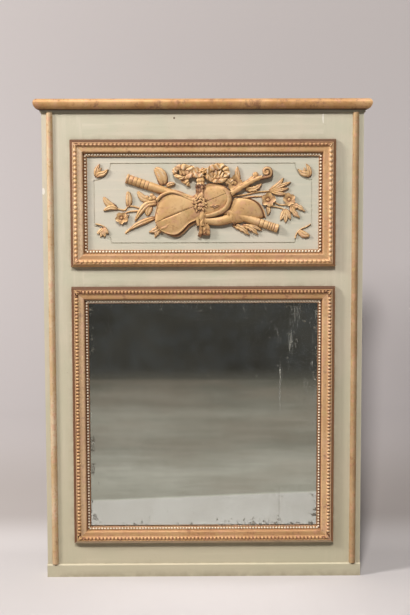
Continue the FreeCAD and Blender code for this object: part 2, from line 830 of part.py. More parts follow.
def flute():
    """A ringed pipe across the whole trophy, sunk a little under half its thickness into the ground."""
    start, end = FLUTE_ENDS
    run = flat(end) - flat(start)
    length = field_share * run.Length
    radius = S["flute_radius"]
    ring = radius + S["flute_ring_rise"]
    body = doc.addObject("PartDesign::Body", "flute_body")
    rings = ((0, S["flute_end_ring_width"]),
             (S["flute_ring_distance"], S["flute_ring_distance"] + S["flute_ring_width"]))
    outline = [(0, 0), (length, 0)]
    for near, far in rings:
        outline += [(length - near, radius), (length - near, ring), (length - far, ring), (length - far, radius)]
    for near, far in rings[::-1]:
        outline += [(far, radius), (far, ring), (near, ring), (near, radius)]
    outline = [step for index, step in enumerate(outline) if index not in (2, len(outline) - 1)]
    turned = body.newObject("PartDesign::Revolution", "flute_turned")
    profile = sketch_on(body, "XY_Plane", "flute_profile", [outline])
    turned.Profile = profile
    turned.ReferenceAxis = (profile, ["H_Axis"])
    along = FreeCAD.Vector(run.x, 0, run.y) * (1 / run.Length)
    x, y, z = at(start)
    place(body, (x, y - S["flute_axis_height"], z), along=along, up=FRONT)
    return body


behind_panel = box("behind_panel", (-half_panel, face, panel_middle - half_panel_height),
                   (half_panel, face_back + S["flute_radius"], panel_middle + half_panel_height))
flute_piece = cut("flute_cut", flute(), [behind_panel])

spray_left = cut("spray_left_cut", spray("spray_left_blank", LEFT_STEMS, LEFT_LEAVES, LEFT_FLOWERS),
                 [flute_piece])
spray_right = cut("spray_right_cut", spray("spray_right_blank", RIGHT_STEMS, RIGHT_LEAVES, RIGHT_FLOWERS),
                  [flute_piece])
leaf_upper = cut("leaf_upper_cut", spray("leaf_upper_blank", [], UPPER_LEAF, []), [flute_piece])
leaves_lower = cut("leaves_lower_cut", spray("leaves_lower_blank", LOWER_STEMS, LOWER_LEAVES, []),
                   [flute_piece])

bell_outline = [(field_share * step[0], field_share * step[1]) + tuple(field_share * size for size in step[2:3])
                + step[3:] for step in HORN_BELL]
bell = carving("horn_bell", bell_outline, S["horn_height"])
place(bell, at((0, 0)), along=X, up=FRONT)
tube = cylinder("horn_tube", field_share * S["horn_tube_radius"], field_share * S["horn_tube_length"],
                at(HORN_MOUTHPIECE), X)
horn = cut("horn_cut", join("horn_blank", [bell, tube]),
           [behind_panel, flute_piece, spray_right, leaves_lower])


def violin_shape():
    """Two bouts joined by hollow waists, along local X from the middle of the lower bout."""
    lower = field_share * S["violin_lower_radius"]
    upper = field_share * S["violin_upper_radius"]
    distance = field_share * S["violin_centre_distance"]
    waist = field_share * S["violin_waist_radius"]
    lower_angle = math.radians(VIOLIN_LOWER_JOINT)
    upper_angle = math.radians(VIOLIN_UPPER_JOINT)
    lower_x = lower * math.cos(lower_angle)
    lower_z = lower * math.sin(lower_angle)
    upper_x = distance + upper * math.cos(upper_angle)
    upper_z = upper * math.sin(upper_angle)
    return [
        (upper_x, -upper_z, waist, -1),
        (distance + upper, 0, upper, 1),
        (upper_x, upper_z, upper, 1),
        (lower_x, lower_z, waist, -1),
        (-lower, 0, lower, 1),
        (lower_x, -lower_z, lower, 1),
    ]


violin_blank = carving("violin_body", violin_shape(), S["violin_height"])
place(violin_blank, at(VIOLIN_CENTRE), along=direction(VIOLIN_ANGLE), up=FRONT)
violin = cut("violin_cut", violin_blank, [flute_piece, spray_left, spray_right, horn])

half_neck = field_share * S["neck_width"] / 2
neck_end = field_share * S["neck_length"]
neck_bar = carving("neck_bar", [(0, -half_neck), (neck_end, -half_neck * 0.7), (neck_end, half_neck * 0.7),
                                (0, half_neck)], S["neck_height"])
place(neck_bar, at(NECK_START), along=direction(NECK_ANGLE), up=FRONT)
neck_run = direction(NECK_ANGLE)
scroll_centre = (NECK_START[0] + S["neck_length"] * neck_run.x, NECK_START[1] + S["neck_length"] * neck_run.z)
scroll = cylinder("scroll", field_share * S["scroll_radius"], S["neck_height"], at(scroll_centre), FRONT)
violin_neck = cut("violin_neck_cut", join("violin_neck_blank", [neck_bar, scroll]), [spray_right, violin])

tails = cut("tails_cut", relief("tails_blank", [leaf_face(*tail) for tail in TAILS], "tail_height"),
            [flute_piece, horn, violin])
loops = []
for centre_x, centre_z, reach_x, reach_z in BOW_LOOPS:
    ring_face = ellipse_face(centre_x, centre_z, reach_x, reach_z)
    hole = ellipse_face(centre_x, centre_z, reach_x - BOW_BAND, reach_z - BOW_BAND)
    loops.append(ring_face.cut(hole).Faces[0])
bow = cut("bow_cut", relief("bow_blank", loops + [ellipse_face(*BOW_HEART)], "bow_height"),
          [flute_piece, leaf_upper, spray_right, violin, violin_neck])
knot = cut("knot_cut", relief("knot_blank", [ellipse_face(*turn) for turn in KNOT], "knot_height"),
           [flute_piece, horn, violin, tails, bow])

for piece, label in (
    (flute_piece, "trophy_flute"), (spray_left, "trophy_spray_left"), (spray_right, "trophy_spray_right"),
    (leaf_upper, "trophy_leaf_upper"), (leaves_lower, "trophy_leaves_lower"), (horn, "trophy_horn"),
    (violin, "trophy_violin"), (violin_neck, "trophy_violin_neck"), (tails, "trophy_ribbon_tails"),
    (bow, "trophy_ribbon_bow"), (knot, "trophy_ribbon_knot"),
):
    keep(piece, label)

for side_name, side in SIDES:
    for level_name, level in (("bottom", -1), ("top", 1)):
        blades = []
        for turn, share in CORNER_BLADES:
            tip = direction(turn) * (S["corner_leaf_length"].value * share)
            blades.append(leaf_face((0, 0), (tip.x, tip.z), S["corner_leaf_width"].value))
        leaf = relief(f"corner_leaf_{level_name}_{side_name}_shape", blades, "corner_leaf_height")
        inward = FreeCAD.Vector(-side, 0, -level) * math.sqrt(0.5)
        place(leaf, (side * line_x, face, panel_middle + level * line_z), along=inward, up=FRONT)
        keep(leaf, f"corner_leaf_{level_name}_{side_name}")


# ---- mirror glass, its silvering and the blocks that hold it ----

half_glass = half_opening - S["opening_clearance"]
glass_low = mirror_opening[0] + S["opening_clearance"]
glass_high = mirror_opening[1] - S["opening_clearance"]
glass_back = face + S["glass_thickness"]
silvering_back = glass_back + S["silvering_thickness"]
keep(box("glass", (-half_glass, face, glass_low), (half_glass, glass_back, glass_high)), "mirror_glass")
keep(box("silvering", (-half_glass, glass_back, glass_low), (half_glass, silvering_back, glass_high)),
     "mirror_silvering")

blocks = []
block_back = silvering_back + S["block_thickness"]
glass_span = mirror_opening[1] - mirror_opening[0]
for number in range(BLOCKS_PER_SIDE):
    share = (number + 0.5) / BLOCKS_PER_SIDE
    level = mirror_opening[0] + glass_span * share
    middle = 2 * half_opening * share - half_opening
    half_block = S["block_length"] / 2
    for side_name, side in SIDES:
        ends = (half_opening - S["block_width"], half_opening)
        if side < 0:
            ends = (-ends[1], -ends[0])
        blocks.append(box(f"block_{side_name}_{number}", (ends[0], silvering_back, level - half_block),
                          (ends[1], block_back, level + half_block)))
    for level_name, low in (("bottom", mirror_opening[0]), ("top", mirror_opening[1] - S["block_width"])):
        blocks.append(box(f"block_{level_name}_{number}", (middle - half_block, silvering_back, low),
                          (middle + half_block, block_back, low + S["block_width"])))
keep(group("block_group", blocks), "glazing_blocks")


# ---- check and write ----

doc.recompute()
faults = [thing.Name for thing in doc.Objects if "Invalid" in thing.State or "Error" in thing.State]
if faults:
    raise RuntimeError(f"these objects failed: {faults}")
labels = [node.Label for node in nodes]
if len(set(labels)) != len(labels):
    raise RuntimeError("two sub-parts share a label")
for node in nodes:
    if node.Shape.isNull() or not node.Shape.isValid() or not node.Shape.Solids:
        raise RuntimeError(f"{node.Label} has no valid solid")

os.makedirs("parts", exist_ok=True)
for node in nodes:
    node.Shape.exportStep(f"parts/{node.Label}.step")
    print(f"{node.Label}: {len(node.Shape.Solids)} solids, {node.Shape.Volume / 1000:.1f} cm3")
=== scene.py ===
"""Looks of the trumeau mirror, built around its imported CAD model.

Everything is in metres in the model's frame: the front faces -Y and +Z is up. Carved pieces are drawn in
millimetres, from the middle of the carved panel or from the outer corner of a frame, and scaled when made.
"""

import math
import random

import bpy
import numpy as np
from mathutils import Matrix, Vector


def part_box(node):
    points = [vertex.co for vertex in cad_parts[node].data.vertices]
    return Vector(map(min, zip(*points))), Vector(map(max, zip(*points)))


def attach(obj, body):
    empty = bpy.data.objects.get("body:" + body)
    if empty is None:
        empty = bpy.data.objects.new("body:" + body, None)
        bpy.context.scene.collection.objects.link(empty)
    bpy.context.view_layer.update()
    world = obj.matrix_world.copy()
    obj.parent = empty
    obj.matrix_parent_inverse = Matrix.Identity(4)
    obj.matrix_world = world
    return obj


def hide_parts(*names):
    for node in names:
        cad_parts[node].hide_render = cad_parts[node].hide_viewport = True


MM = 0.001

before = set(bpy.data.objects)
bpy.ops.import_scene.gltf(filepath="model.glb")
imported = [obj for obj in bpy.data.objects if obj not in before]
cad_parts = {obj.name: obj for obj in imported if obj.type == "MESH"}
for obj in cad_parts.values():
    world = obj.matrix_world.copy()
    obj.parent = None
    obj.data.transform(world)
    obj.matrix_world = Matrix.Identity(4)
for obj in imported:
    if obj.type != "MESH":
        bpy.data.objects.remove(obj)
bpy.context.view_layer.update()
chance = random.Random(11)

panel_low, panel_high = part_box("relief_panel")
FACE = panel_low.y
PANEL_MIDDLE = (panel_low.z + panel_high.z) / 2
MIRROR_LOW, MIRROR_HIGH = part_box("mirror_glass")


# ---- materials ----

def colour(red, green, blue):
    """A colour given as it looks on screen, 0 to 255, in the linear values that a shader takes."""
    def linear(value):
        share = value / 255
        return share / 12.92 if share <= 0.04045 else ((share + 0.055) / 1.055) ** 2.4
    return (linear(red), linear(green), linear(blue), 1)


class Finish:
    """A material under construction, with short calls for the nodes that the finishes share."""

    def __init__(self, name):
        self.material = bpy.data.materials.new(name)
        self.material.use_nodes = True
        self.tree = self.material.node_tree
        self.shader = self.tree.nodes["Principled BSDF"]
        self.position = self.node("ShaderNodeTexCoord").outputs["Object"]

    def put(self, socket, value):
        """Gives a socket a value, or joins another node's output to it."""
        if isinstance(value, bpy.types.NodeSocket):
            self.tree.links.new(value, socket)
        else:
            socket.default_value = value

    def node(self, kind, settings=None, **sockets):
        made = self.tree.nodes.new(kind)
        for key, value in (settings or {}).items():
            setattr(made, key, value)
        for key, value in sockets.items():
            self.put(made.inputs[key.replace("_", " ")], value)
        return made

    def math(self, operation, first, second=0.0):
        made = self.node("ShaderNodeMath", {"operation": operation})
        self.put(made.inputs[0], first)
        self.put(made.inputs[1], second)
        return made.outputs[0]

    def plus(self, first, second):
        return self.math("ADD", first, second)

    def minus(self, first, second):
        return self.math("SUBTRACT", first, second)

    def times(self, first, second):
        return self.math("MULTIPLY", first, second)

    def larger(self, first, second):
        return self.math("MAXIMUM", first, second)

    def noise(self, scale, stretch=(1, 1, 1), detail=4.0, roughness=0.55):
        place = self.node("ShaderNodeMapping", Vector=self.position, Scale=stretch).outputs[0]
        return self.node("ShaderNodeTexNoise", Vector=place, Scale=scale, Detail=detail,
                         Roughness=roughness).outputs[0]

    def step(self, value, low, high):
        """0 up to low and 1 from high, smooth between."""
        return self.node("ShaderNodeMapRange", {"interpolation_type": "SMOOTHSTEP"}, Value=value,
                         From_Min=low, From_Max=high).outputs[0]

    def patches(self, scale, low, high, **noise):
        """Uneven patches: 1 where a noise is above high, 0 where it is below low."""
        return self.step(self.noise(scale, **noise), low, high)

    def mix(self, share, first, second):
        made = self.node("ShaderNodeMix", {"data_type": "RGBA"})
        self.put(made.inputs[0], share)
        self.put(made.inputs[6], first)
        self.put(made.inputs[7], second)
        return made.outputs[2]

    def tinge(self, tint, where, amount, over):
        """Lays a colour over a tint by the given amount, where the share is 1."""
        return self.mix(self.times(where, amount), tint, over)

    def attribute(self, name):
        return self.node("ShaderNodeAttribute", {"attribute_name": name}).outputs["Fac"]

    def axis(self, name):
        return self.node("ShaderNodeSeparateXYZ", Vector=self.position).outputs[name]

    def recess(self, reach):
        """1 deep in a corner, 0 in the open."""
        open_share = self.node("ShaderNodeAmbientOcclusion", {"samples": 6}, Distance=reach).outputs["AO"]
        return self.minus(1.0, open_share)

    def spot(self, x, z, reach_x, reach_z):
        """1 inside an uneven spot on the front: its middle, and its reach across and along, in metres."""
        across = self.math("DIVIDE", self.minus(self.axis("X"), x), reach_x)
        along = self.math("DIVIDE", self.minus(self.axis("Z"), z), reach_z)
        squares = self.plus(self.times(across, across), self.times(along, along))
        return self.step(self.plus(squares, self.times(self.noise(220), 0.9)), 1.5, 1.2)

    def bump(self, height, distance, strength):
        """Adds to the surface's relief."""
        before = self.shader.inputs["Normal"]
        made = self.node("ShaderNodeBump", Height=height, Distance=distance, Strength=strength)
        if before.is_linked:
            self.tree.links.new(before.links[0].from_socket, made.inputs["Normal"])
        self.tree.links.new(made.outputs[0], before)

    def show(self, shader):
        """Makes a shader the one that the surface shows."""
        self.put(self.tree.nodes["Material Output"].inputs["Surface"], shader)
        return self.material

    def set(self, **sockets):
        for key, value in sockets.items():
            self.put(self.shader.inputs[key.replace("_", " ")], value)
        return self.material


ALONG_X = (0.06, 1, 1)
ALONG_Z = (1, 1, 0.06)
PAINT_PALE = colour(226, 216, 196)
PAINT_MAIN = colour(214, 203, 181)
PAINT_GREEN = colour(204, 200, 176)
PAINT_AGED = colour(196, 179, 146)
PAINT_LOW = colour(204, 194, 163)
PAINT_DIRT_AND_SHADE = colour(128, 108, 78)
MARK_COLOURS = {"chip": colour(238, 232, 220), "crack": colour(96, 78, 56)}
GOLD_BROWN = colour(180, 128, 82)
GOLD_ROSE = colour(214, 160, 130)
GOLD_GREEN = colour(204, 176, 116)
GOLD_PALE = colour(242, 230, 208)
BOLE = colour(146, 98, 68)
HOLLOW_DARK = colour(78, 52, 32)


def painted(name, stretch, marks=(), dirt_and_shade=0.9, main=PAINT_MAIN, green=PAINT_GREEN):
    """Old grey-cream paint on a board: brush lines along it, soiling and painted shade in the corners, yellower
    near the floor.
    marks are chips to the white ground and fine cracks, each at its own place."""
    f = Finish(name)
    streak = f.noise(70, stretch, detail=5, roughness=0.6)
    tint = f.mix(f.patches(4.5, 0.36, 0.66, detail=5), main, green)
    tint = f.tinge(tint, f.step(streak, 0.45, 0.72), 0.5, PAINT_PALE)
    tint = f.tinge(tint, f.step(f.axis("Z"), 1.25, 0.02), 0.6, PAINT_LOW)
    tint = f.tinge(tint, f.patches(26, 0.66, 0.75, detail=8, roughness=0.7), 0.35, PAINT_AGED)
    # painted shade with soiling: darker, in patches, where the paint lies deep in a corner or beside a frame
    dirt_and_corner_shade = f.times(f.recess(0.03), f.patches(34, 0.2, 0.7, detail=5))
    tint = f.tinge(tint, dirt_and_corner_shade, dirt_and_shade, PAINT_DIRT_AND_SHADE)
    tint = f.tinge(tint, f.patches(330, 0.735, 0.76, detail=2), 0.6, PAINT_DIRT_AND_SHADE)
    for kind, *place in marks:
        tint = f.mix(f.spot(*place), tint, MARK_COLOURS[kind])
    f.bump(streak, 0.0012, 0.35)
    f.bump(f.noise(420, stretch, detail=3), 0.0004, 0.35)
    roughness = f.plus(f.times(streak, 0.25), 0.45)
    return f.set(Base_Color=tint, Roughness=roughness, Specular_IOR_Level=0.35)


def gilded(name, main, light, worn, dark=0.8, carved=False, underside_shade=None):
    """Old gilding: the red-brown ground shows where it is rubbed, and the hollows and tight corners are darker,
    with soiling and painted shade. A carved surface says how deep it lies: 1 in a hollow, 0 in the open, -1 on
    a bead that is worn pale or on a top with a painted highlight. The last argument gives the heights between
    which an underside is painted dark, as painted shade."""
    f = Finish(name)
    patch = f.noise(38, detail=7, roughness=0.68)
    rubbed = f.step(patch, worn, worn + 0.1)
    tint = f.mix(f.patches(9, 0.35, 0.68, detail=5), main, light)
    tint = f.tinge(tint, f.patches(55, 0.50, 0.68, detail=3), 0.55, GOLD_ROSE)
    tint = f.tinge(tint, f.patches(47, 0.53, 0.70, detail=3), 0.45, GOLD_GREEN)
    tint = f.tinge(tint, rubbed, 0.75, BOLE)
    tint = f.tinge(tint, f.patches(120, 0.54, 0.68), 0.5, GOLD_BROWN)
    if carved:
        # hollows: the red-brown ground, darker still with soiling and painted shade; pale on worn beads and on
        # painted highlights
        depth = f.attribute("hollow")
        tint = f.mix(f.step(depth, -0.2, -0.9), tint, GOLD_PALE)
        tint = f.mix(f.step(depth, 0.25, 0.75), tint, BOLE)
        tint = f.tinge(tint, f.step(depth, 0.6, 1.0), dark, HOLLOW_DARK)
    # painted shade in tight corners, where parts meet
    tint = f.tinge(tint, f.step(f.recess(0.006), 0.25, 0.85), 0.75 * dark, HOLLOW_DARK)
    # painted shade along the underside of the cornice's round
    if underside_shade:
        tint = f.mix(f.step(f.axis("Z"), underside_shade[1], underside_shade[0]), tint, HOLLOW_DARK)
    f.bump(f.noise(260, detail=5, roughness=0.6), 0.0005, 0.5)
    metal = f.times(f.minus(1.0, rubbed), 0.25)
    return f.set(Base_Color=tint, Metallic=metal, Roughness=f.plus(f.times(patch, 0.3), 0.42))


def bare(name, stretch):
    """Unpainted old softwood, brown with age, with its grain along the board."""
    f = Finish(name)
    grain = f.noise(55, stretch, detail=6, roughness=0.62)
    tint = f.mix(f.step(grain, 0.35, 0.68), colour(126, 96, 66), colour(164, 130, 92))
    tint = f.tinge(tint, f.patches(5, 0.35, 0.65), 0.4, colour(112, 92, 72))
    # painted shade in the corners
    tint = f.tinge(tint, f.recess(0.02), 0.7, colour(58, 44, 32))
    f.bump(grain, 0.002, 0.4)
    f.bump(f.noise(500, stretch, detail=3), 0.0005, 0.4)
    return f.set(Base_Color=tint, Roughness=0.78)


def iron(name):
    """Dark iron with a little rust."""
    f = Finish(name)
    rust = f.patches(150, 0.5, 0.64, detail=6, roughness=0.7)
    tint = f.mix(rust, colour(70, 66, 62), colour(112, 66, 40))
    f.bump(f.noise(700), 0.0003, 0.5)
    return f.set(Base_Color=tint, Metallic=f.times(f.minus(1.0, rust), 0.8), Roughness=0.55)


def old_glass(name):
    f = Finish(name)
    f.bump(f.noise(7, detail=2), 0.0006, 0.3)
    return f.set(Base_Color=(0.93, 0.96, 0.94, 1), Roughness=0.02, Transmission_Weight=1.0, IOR=1.5)


# Marks in the silvering: a scratch, and spots on its left edge. Place and reach across and along, in metres.
SILVER_MARKS = ((0.236, 0.240, 0.0009, 0.060), (-0.344, 0.430, 0.006, 0.016), (-0.346, 0.405, 0.007, 0.012),
                (-0.346, 0.342, 0.007, 0.020), (-0.342, 0.190, 0.007, 0.012), (-0.338, 0.182, 0.009, 0.004))
BEHIND_FRAME = 0.014


def silvered(name):
    """Old silvering behind the glass: grey, cloudy, and eaten away in spots along its edges."""
    f = Finish(name)

    def from_edge(axis, low, high):
        """How far a place lies inside the part that the frame leaves open."""
        away = f.math("ABSOLUTE", f.minus(f.axis(axis), (low + high) / 2))
        return f.minus((high - low) / 2 - BEHIND_FRAME, away)

    nearest = f.math("MINIMUM", from_edge("X", MIRROR_LOW.x, MIRROR_HIGH.x),
                     from_edge("Z", MIRROR_LOW.z, MIRROR_HIGH.z))
    low_right = f.times(f.step(f.axis("X"), 0.0, 0.12), f.step(f.axis("Z"), 0.30, 0.20))
    edge = f.times(f.step(nearest, 0.035, 0.0), f.plus(f.times(low_right, 0.5), 0.55))
    upper_right = f.step(f.plus(f.times(f.axis("X"), 0.7), f.axis("Z")), 0.78, 1.08)
    spread = f.larger(edge, f.times(upper_right, 0.42))
    spots = f.noise(75, detail=9, roughness=0.72)
    eaten = f.step(f.plus(spots, f.times(spread, 0.14)), 0.64, 0.70)
    broken = f.patches(480, 0.40, 0.56, roughness=0.7)
    for place in SILVER_MARKS:
        eaten = f.larger(eaten, f.times(broken, f.spot(*place)))
    streaks = f.patches(60, 0.57, 0.66, stretch=(1, 1, 0.12), detail=6, roughness=0.75)
    trails = f.times(f.step(f.axis("X"), 0.15, 0.24), f.step(f.axis("Z"), 0.50, 0.62))
    eaten = f.larger(eaten, f.times(f.times(streaks, trails), 0.7))
    cloud = f.patches(3.5, 0.3, 0.7, detail=6, roughness=0.6)
    tint = f.mix(cloud, colour(216, 214, 209), colour(229, 228, 225))
    tint = f.mix(eaten, tint, colour(112, 104, 92))
    tint = f.tinge(tint, f.patches(420, 0.745, 0.76, detail=3), 0.7, colour(70, 62, 52))
    f.bump(f.noise(5, detail=3), 0.0006, 0.12)
    return f.set(Base_Color=tint, Metallic=f.minus(1.0, f.times(eaten, 0.35)),
                 Roughness=f.plus(f.times(eaten, 0.4), 0.035))


# ---- meshes ----

SHARP_ANGLE = math.radians(55)


def make_piece(name, points, faces, finish, hollow=None):
    """A smooth mesh with sharp corners, with how hollow each of its points is."""
    mesh = bpy.data.meshes.new(name)
    mesh.from_pydata(points, [], faces)
    mesh.polygons.foreach_set("use_smooth", [True] * len(mesh.polygons))
    if hollow is not None:
        depth = mesh.attributes.new("hollow", "FLOAT", "POINT")
        depth.data.foreach_set("value", hollow)
    mesh.set_sharp_from_angle(angle=SHARP_ANGLE)
    mesh.materials.append(finish)
    piece = bpy.data.objects.new(name, mesh)
    bpy.context.scene.collection.objects.link(piece)
    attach(piece, "root")
    return piece


def grid_faces(rows, columns, start=0, flip=False):
    """The quads between the points of a grid that is numbered row by row."""
    faces = []
    for row in range(rows - 1):
        for column in range(columns - 1):
            first = start + row * columns + column
            quad = (first, first + columns, first + columns + 1, first + 1)
            faces.append(quad[::-1] if flip else quad)
    return faces


def grid_rim(rows, columns):
    """The numbers of the points round the edge of such a grid, down its first column first."""
    rim = [row * columns for row in range(rows)]
    rim += [(rows - 1) * columns + column for column in range(1, columns)]
    rim += [row * columns + columns - 1 for row in range(rows - 2, -1, -1)]
    return rim + list(range(columns - 2, 0, -1))


# ---- the gilded frames ----

# The section of a frame: distance from its outer edge, and height above the painted face.
OUTER_SIDE = [(0, 0), (0, 9.0), (0.8, 10.2), (3.2, 11.4), (5.6, 13.2), (7.4, 15.6), (8.4, 17.2), (9.2, 18.0),
              (10.6, 18.0), (11.4, 16.8)]
CREST_LEVEL = 17.5
ROW_OUTER = 11.4
ROW_INNER = 21.2
ROW_POINTS = 13
ROW_LEVEL = 15.8
ROW_RISE = 4.6
ROW_DEPTH = 3.2
GAP_HALF = 0.20
INNER_SIDE = [(21.4, 15.9), (22.2, 15.0), (23.2, 14.5), (25.0, 14.3), (29.0, 14.2), (34.0, 14.0), (37.4, 13.6),
              (38.4, 12.4), (39.2, 10.2), (40.2, 8.0), (41.2, 5.6), (42.0, 4.2), (49.7, 4.2), (50.4, 4.7),
              (51.1, 4.5), (51.5, 3.8), (51.5, 0)]
FLAT_OUTER = 22.0
FLAT_LEVEL = 12.0
CHANNEL_OUTER = 41.0
CHANNEL_INNER = 50.0
SLOPE_TONE = 0.55
BEAD_LINE = 46.0
BEAD_LEVEL = 4.4
BEAD_SHARE = 0.41
BEAD_RINGS = 4
BEAD_SEGMENTS = 10
COLUMN_STEP = 1.1
CORNER_LEAF = 13.0
SAME_PLACE = 1e-6

# Each side of a frame, as it is carved: the pitch of its row and how dark the row's gaps are, the pitch of
# its beads and how pale they are, and how brown the beads' channel, the outer side, the row and the flat are.
# The sides differ in the photo.
# These tones are partly real browning and wear and partly painted light: a side that catches more lamp light is
# set browner, and one in shade paler, such as the beads' channel along a top and the outer side along a bottom.
UPPER_SIDES = {
    "bottom": (14.0, 0.50, 9.7, 1.40, 0.45, 0.34, -0.30, 0.46),
    "right": (14.9, 0.55, 9.7, 0.90, 0.70, 0.62, -0.45, 0.38),
    "top": (12.4, 0.50, 8.8, 1.30, -0.45, 0.92, 0.46, 0.10),
    "left": (14.3, 0.60, 9.7, 0.80, 0.60, 0.84, -0.42, -0.46),
}
LOWER_SIDES = {
    "bottom": (11.7, 0.75, 9.1, 1.60, 0.25, -0.60, 0.28, 0.42),
    "right": (10.9, 1.00, 9.0, 1.10, 0.78, 0.60, -0.50, -0.32),
    "top": (10.9, 0.80, 9.0, 1.60, -0.90, 0.94, 0.40, 0.40),
    "left": (10.9, 1.00, 9.0, 1.15, 0.78, 0.86, -0.36, -0.40),
}


def smooth(value, low, high):
    share = min(max((value - low) / (high - low), 0), 1)
    return share * share * (3 - 2 * share)


def row_height(across, cell, from_mitre, darkness, tone):
    """Height and hollowness in the row of flutes: across from 0 to 1, cell from -0.5 to 0.5 along. A leaf
    covers the mitre."""
    dome = ROW_LEVEL + ROW_RISE * math.sin(math.pi * (0.08 + 0.84 * across)) ** 0.7
    if from_mitre < CORNER_LEAF:
        half_leaf = 0.5 + 6.5 * math.sin(math.pi * (0.1 + 0.8 * across))
        place = from_mitre / half_leaf
        gap = smooth(place, 0.86, 1.12)
        swell = 0.9 * min(place, 1) ** 2 + 0.9 * math.exp(-((from_mitre / 0.9) ** 2))
    else:
        ends = 1 - smooth(abs(across - 0.5), 0.28, 0.48)
        gap = (1 - smooth(0.5 - abs(cell), 0.4 * GAP_HALF, 1.3 * GAP_HALF)) * ends
        swell = 0.9 * (cell / 0.3) ** 2
    drop = gap * ROW_DEPTH * (0.4 + 0.6 * darkness) + (1 - gap) * swell
    # the gaps are painted darker by their depth: soiling and painted shade
    return dome - drop, tone + (1 - tone) * 0.9 * darkness * min(1.0, drop / ROW_DEPTH)


def section_at(run, length, pitch, darkness, tones):
    """The frame's section at one distance along its outer edge: across, height and hollowness."""
    channel_tone, side_tone, row_tone, flat_tone = tones
    cell = (run - length / 2) / pitch
    cell -= round(cell)
    section = []
    for across, height in OUTER_SIDE:
        section.append((across, height, row_tone if height > CREST_LEVEL else side_tone))
    for number in range(1, ROW_POINTS):
        share = number / ROW_POINTS
        across = ROW_OUTER + (ROW_INNER - ROW_OUTER) * share
        from_mitre = max(min(run, length - run) - across, 0)
        section.append((across, *row_height(share, cell, from_mitre, darkness, row_tone)))
    for across, height in INNER_SIDE:
        if CHANNEL_OUTER < across < CHANNEL_INNER:
            depth = channel_tone
        elif height < FLAT_LEVEL or across < FLAT_OUTER:
            depth = SLOPE_TONE
        else:
            depth = flat_tone
        section.append((across, height, depth))
    return section


def add_bead(points, faces, hollow, place, radius, pale):
    """Half a ball on the bead line. place turns distances along, across and up into a point, and pale is 1
    where the beads are worn to the white ground."""
    start = len(points)
    for ring in range(BEAD_RINGS):
        tilt = math.pi / 2 * ring / BEAD_RINGS
        reach = radius * math.cos(tilt)
        for segment in range(BEAD_SEGMENTS):
            turn = 2 * math.pi * segment / BEAD_SEGMENTS
            points.append(place(reach * math.cos(turn), reach * math.sin(turn), radius * math.sin(tilt)))
            # darker at the bead's foot, with soiling and painted shade, and pale on top where it is worn
            hollow.append(0.8 * (1 - ring / BEAD_RINGS) ** 4 - pale * min(1, 1.5 * ring / BEAD_RINGS))
    points.append(place(0, 0, radius))
    hollow.append(-pale)
    top = len(points) - 1
    for ring in range(BEAD_RINGS):
        first = start + ring * BEAD_SEGMENTS
        for segment in range(BEAD_SEGMENTS):
            here = first + segment
            beside = first + (segment + 1) % BEAD_SEGMENTS
            if ring == BEAD_RINGS - 1:
                faces.append((here, beside, top))
            else:
                faces.append((here, beside, beside + BEAD_SEGMENTS, here + BEAD_SEGMENTS))


def frame_member(name, start, along_edge, inward, length, carved, finish):
    """One mitred length of a frame: the moulding, its row of flutes and its row of beads."""
    pitch, darkness, bead_pitch, pale, *tones = carved
    pitch = length / (2 * round(length / pitch / 2) + 1)

    def place(run, across, height):
        spot = start + (along_edge * run + inward * across) * MM
        return (spot.x, FACE - height * MM, spot.z)

    points, hollow = [], []
    columns = int(length / COLUMN_STEP)
    for column in range(columns + 1):
        run = length * column / columns
        for across, height, depth in section_at(run, length, pitch, darkness, tones):
            held = min(max(run, across), length - across)
            points.append(place(held, across, height))
            hollow.append(depth)
    per_column = len(points) // (columns + 1)
    faces = [quad for quad in grid_faces(columns + 1, per_column)
             if (Vector(points[quad[0]]) - Vector(points[quad[2]])).length > SAME_PLACE]
    bead_run = length - 2 * BEAD_LINE
    beads = round(bead_run / bead_pitch)
    radius = bead_run / beads * BEAD_SHARE
    for number in range(beads):
        middle = BEAD_LINE + bead_run * (number + 0.5) / beads
        add_bead(points, faces, hollow,
                 lambda x, y, z, m=middle: place(m + x, BEAD_LINE + y, BEAD_LEVEL + z), radius, pale)
    piece = make_piece(f"{name}_carved", points, faces, finish, hollow)
    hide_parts(name)


def frame_of_four(prefix, carved, finish):
    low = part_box(f"{prefix}_bottom")[0]
    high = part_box(f"{prefix}_top")[1]
    wide = (high.x - low.x) / MM
    tall = (high.z - low.z) / MM
    right, up = Vector((1, 0, 0)), Vector((0, 0, 1))
    sides = (
        ("bottom", Vector((low.x, 0, low.z)), right, up, wide),
        ("right", Vector((high.x, 0, low.z)), up, -right, tall),
        ("top", Vector((high.x, 0, high.z)), -right, -up, wide),
        ("left", Vector((low.x, 0, high.z)), -up, right, tall),
    )
    for side, start, along_edge, inward, length in sides:
        frame_member(f"{prefix}_{side}", start, along_edge, inward, length, carved[side], finish)


# ---- tools for the carved trophy ----

CUT_FLOOR = -0.5
# How dark the cut sides of carved pieces are at their top and their foot: soiling and painted shade.
CUT_TOP_HOLLOW = 0.4
CUT_FOOT_HOLLOW = 0.85
STEM_HEIGHT = 6.0
PETALS = 5
SEEDS = 6


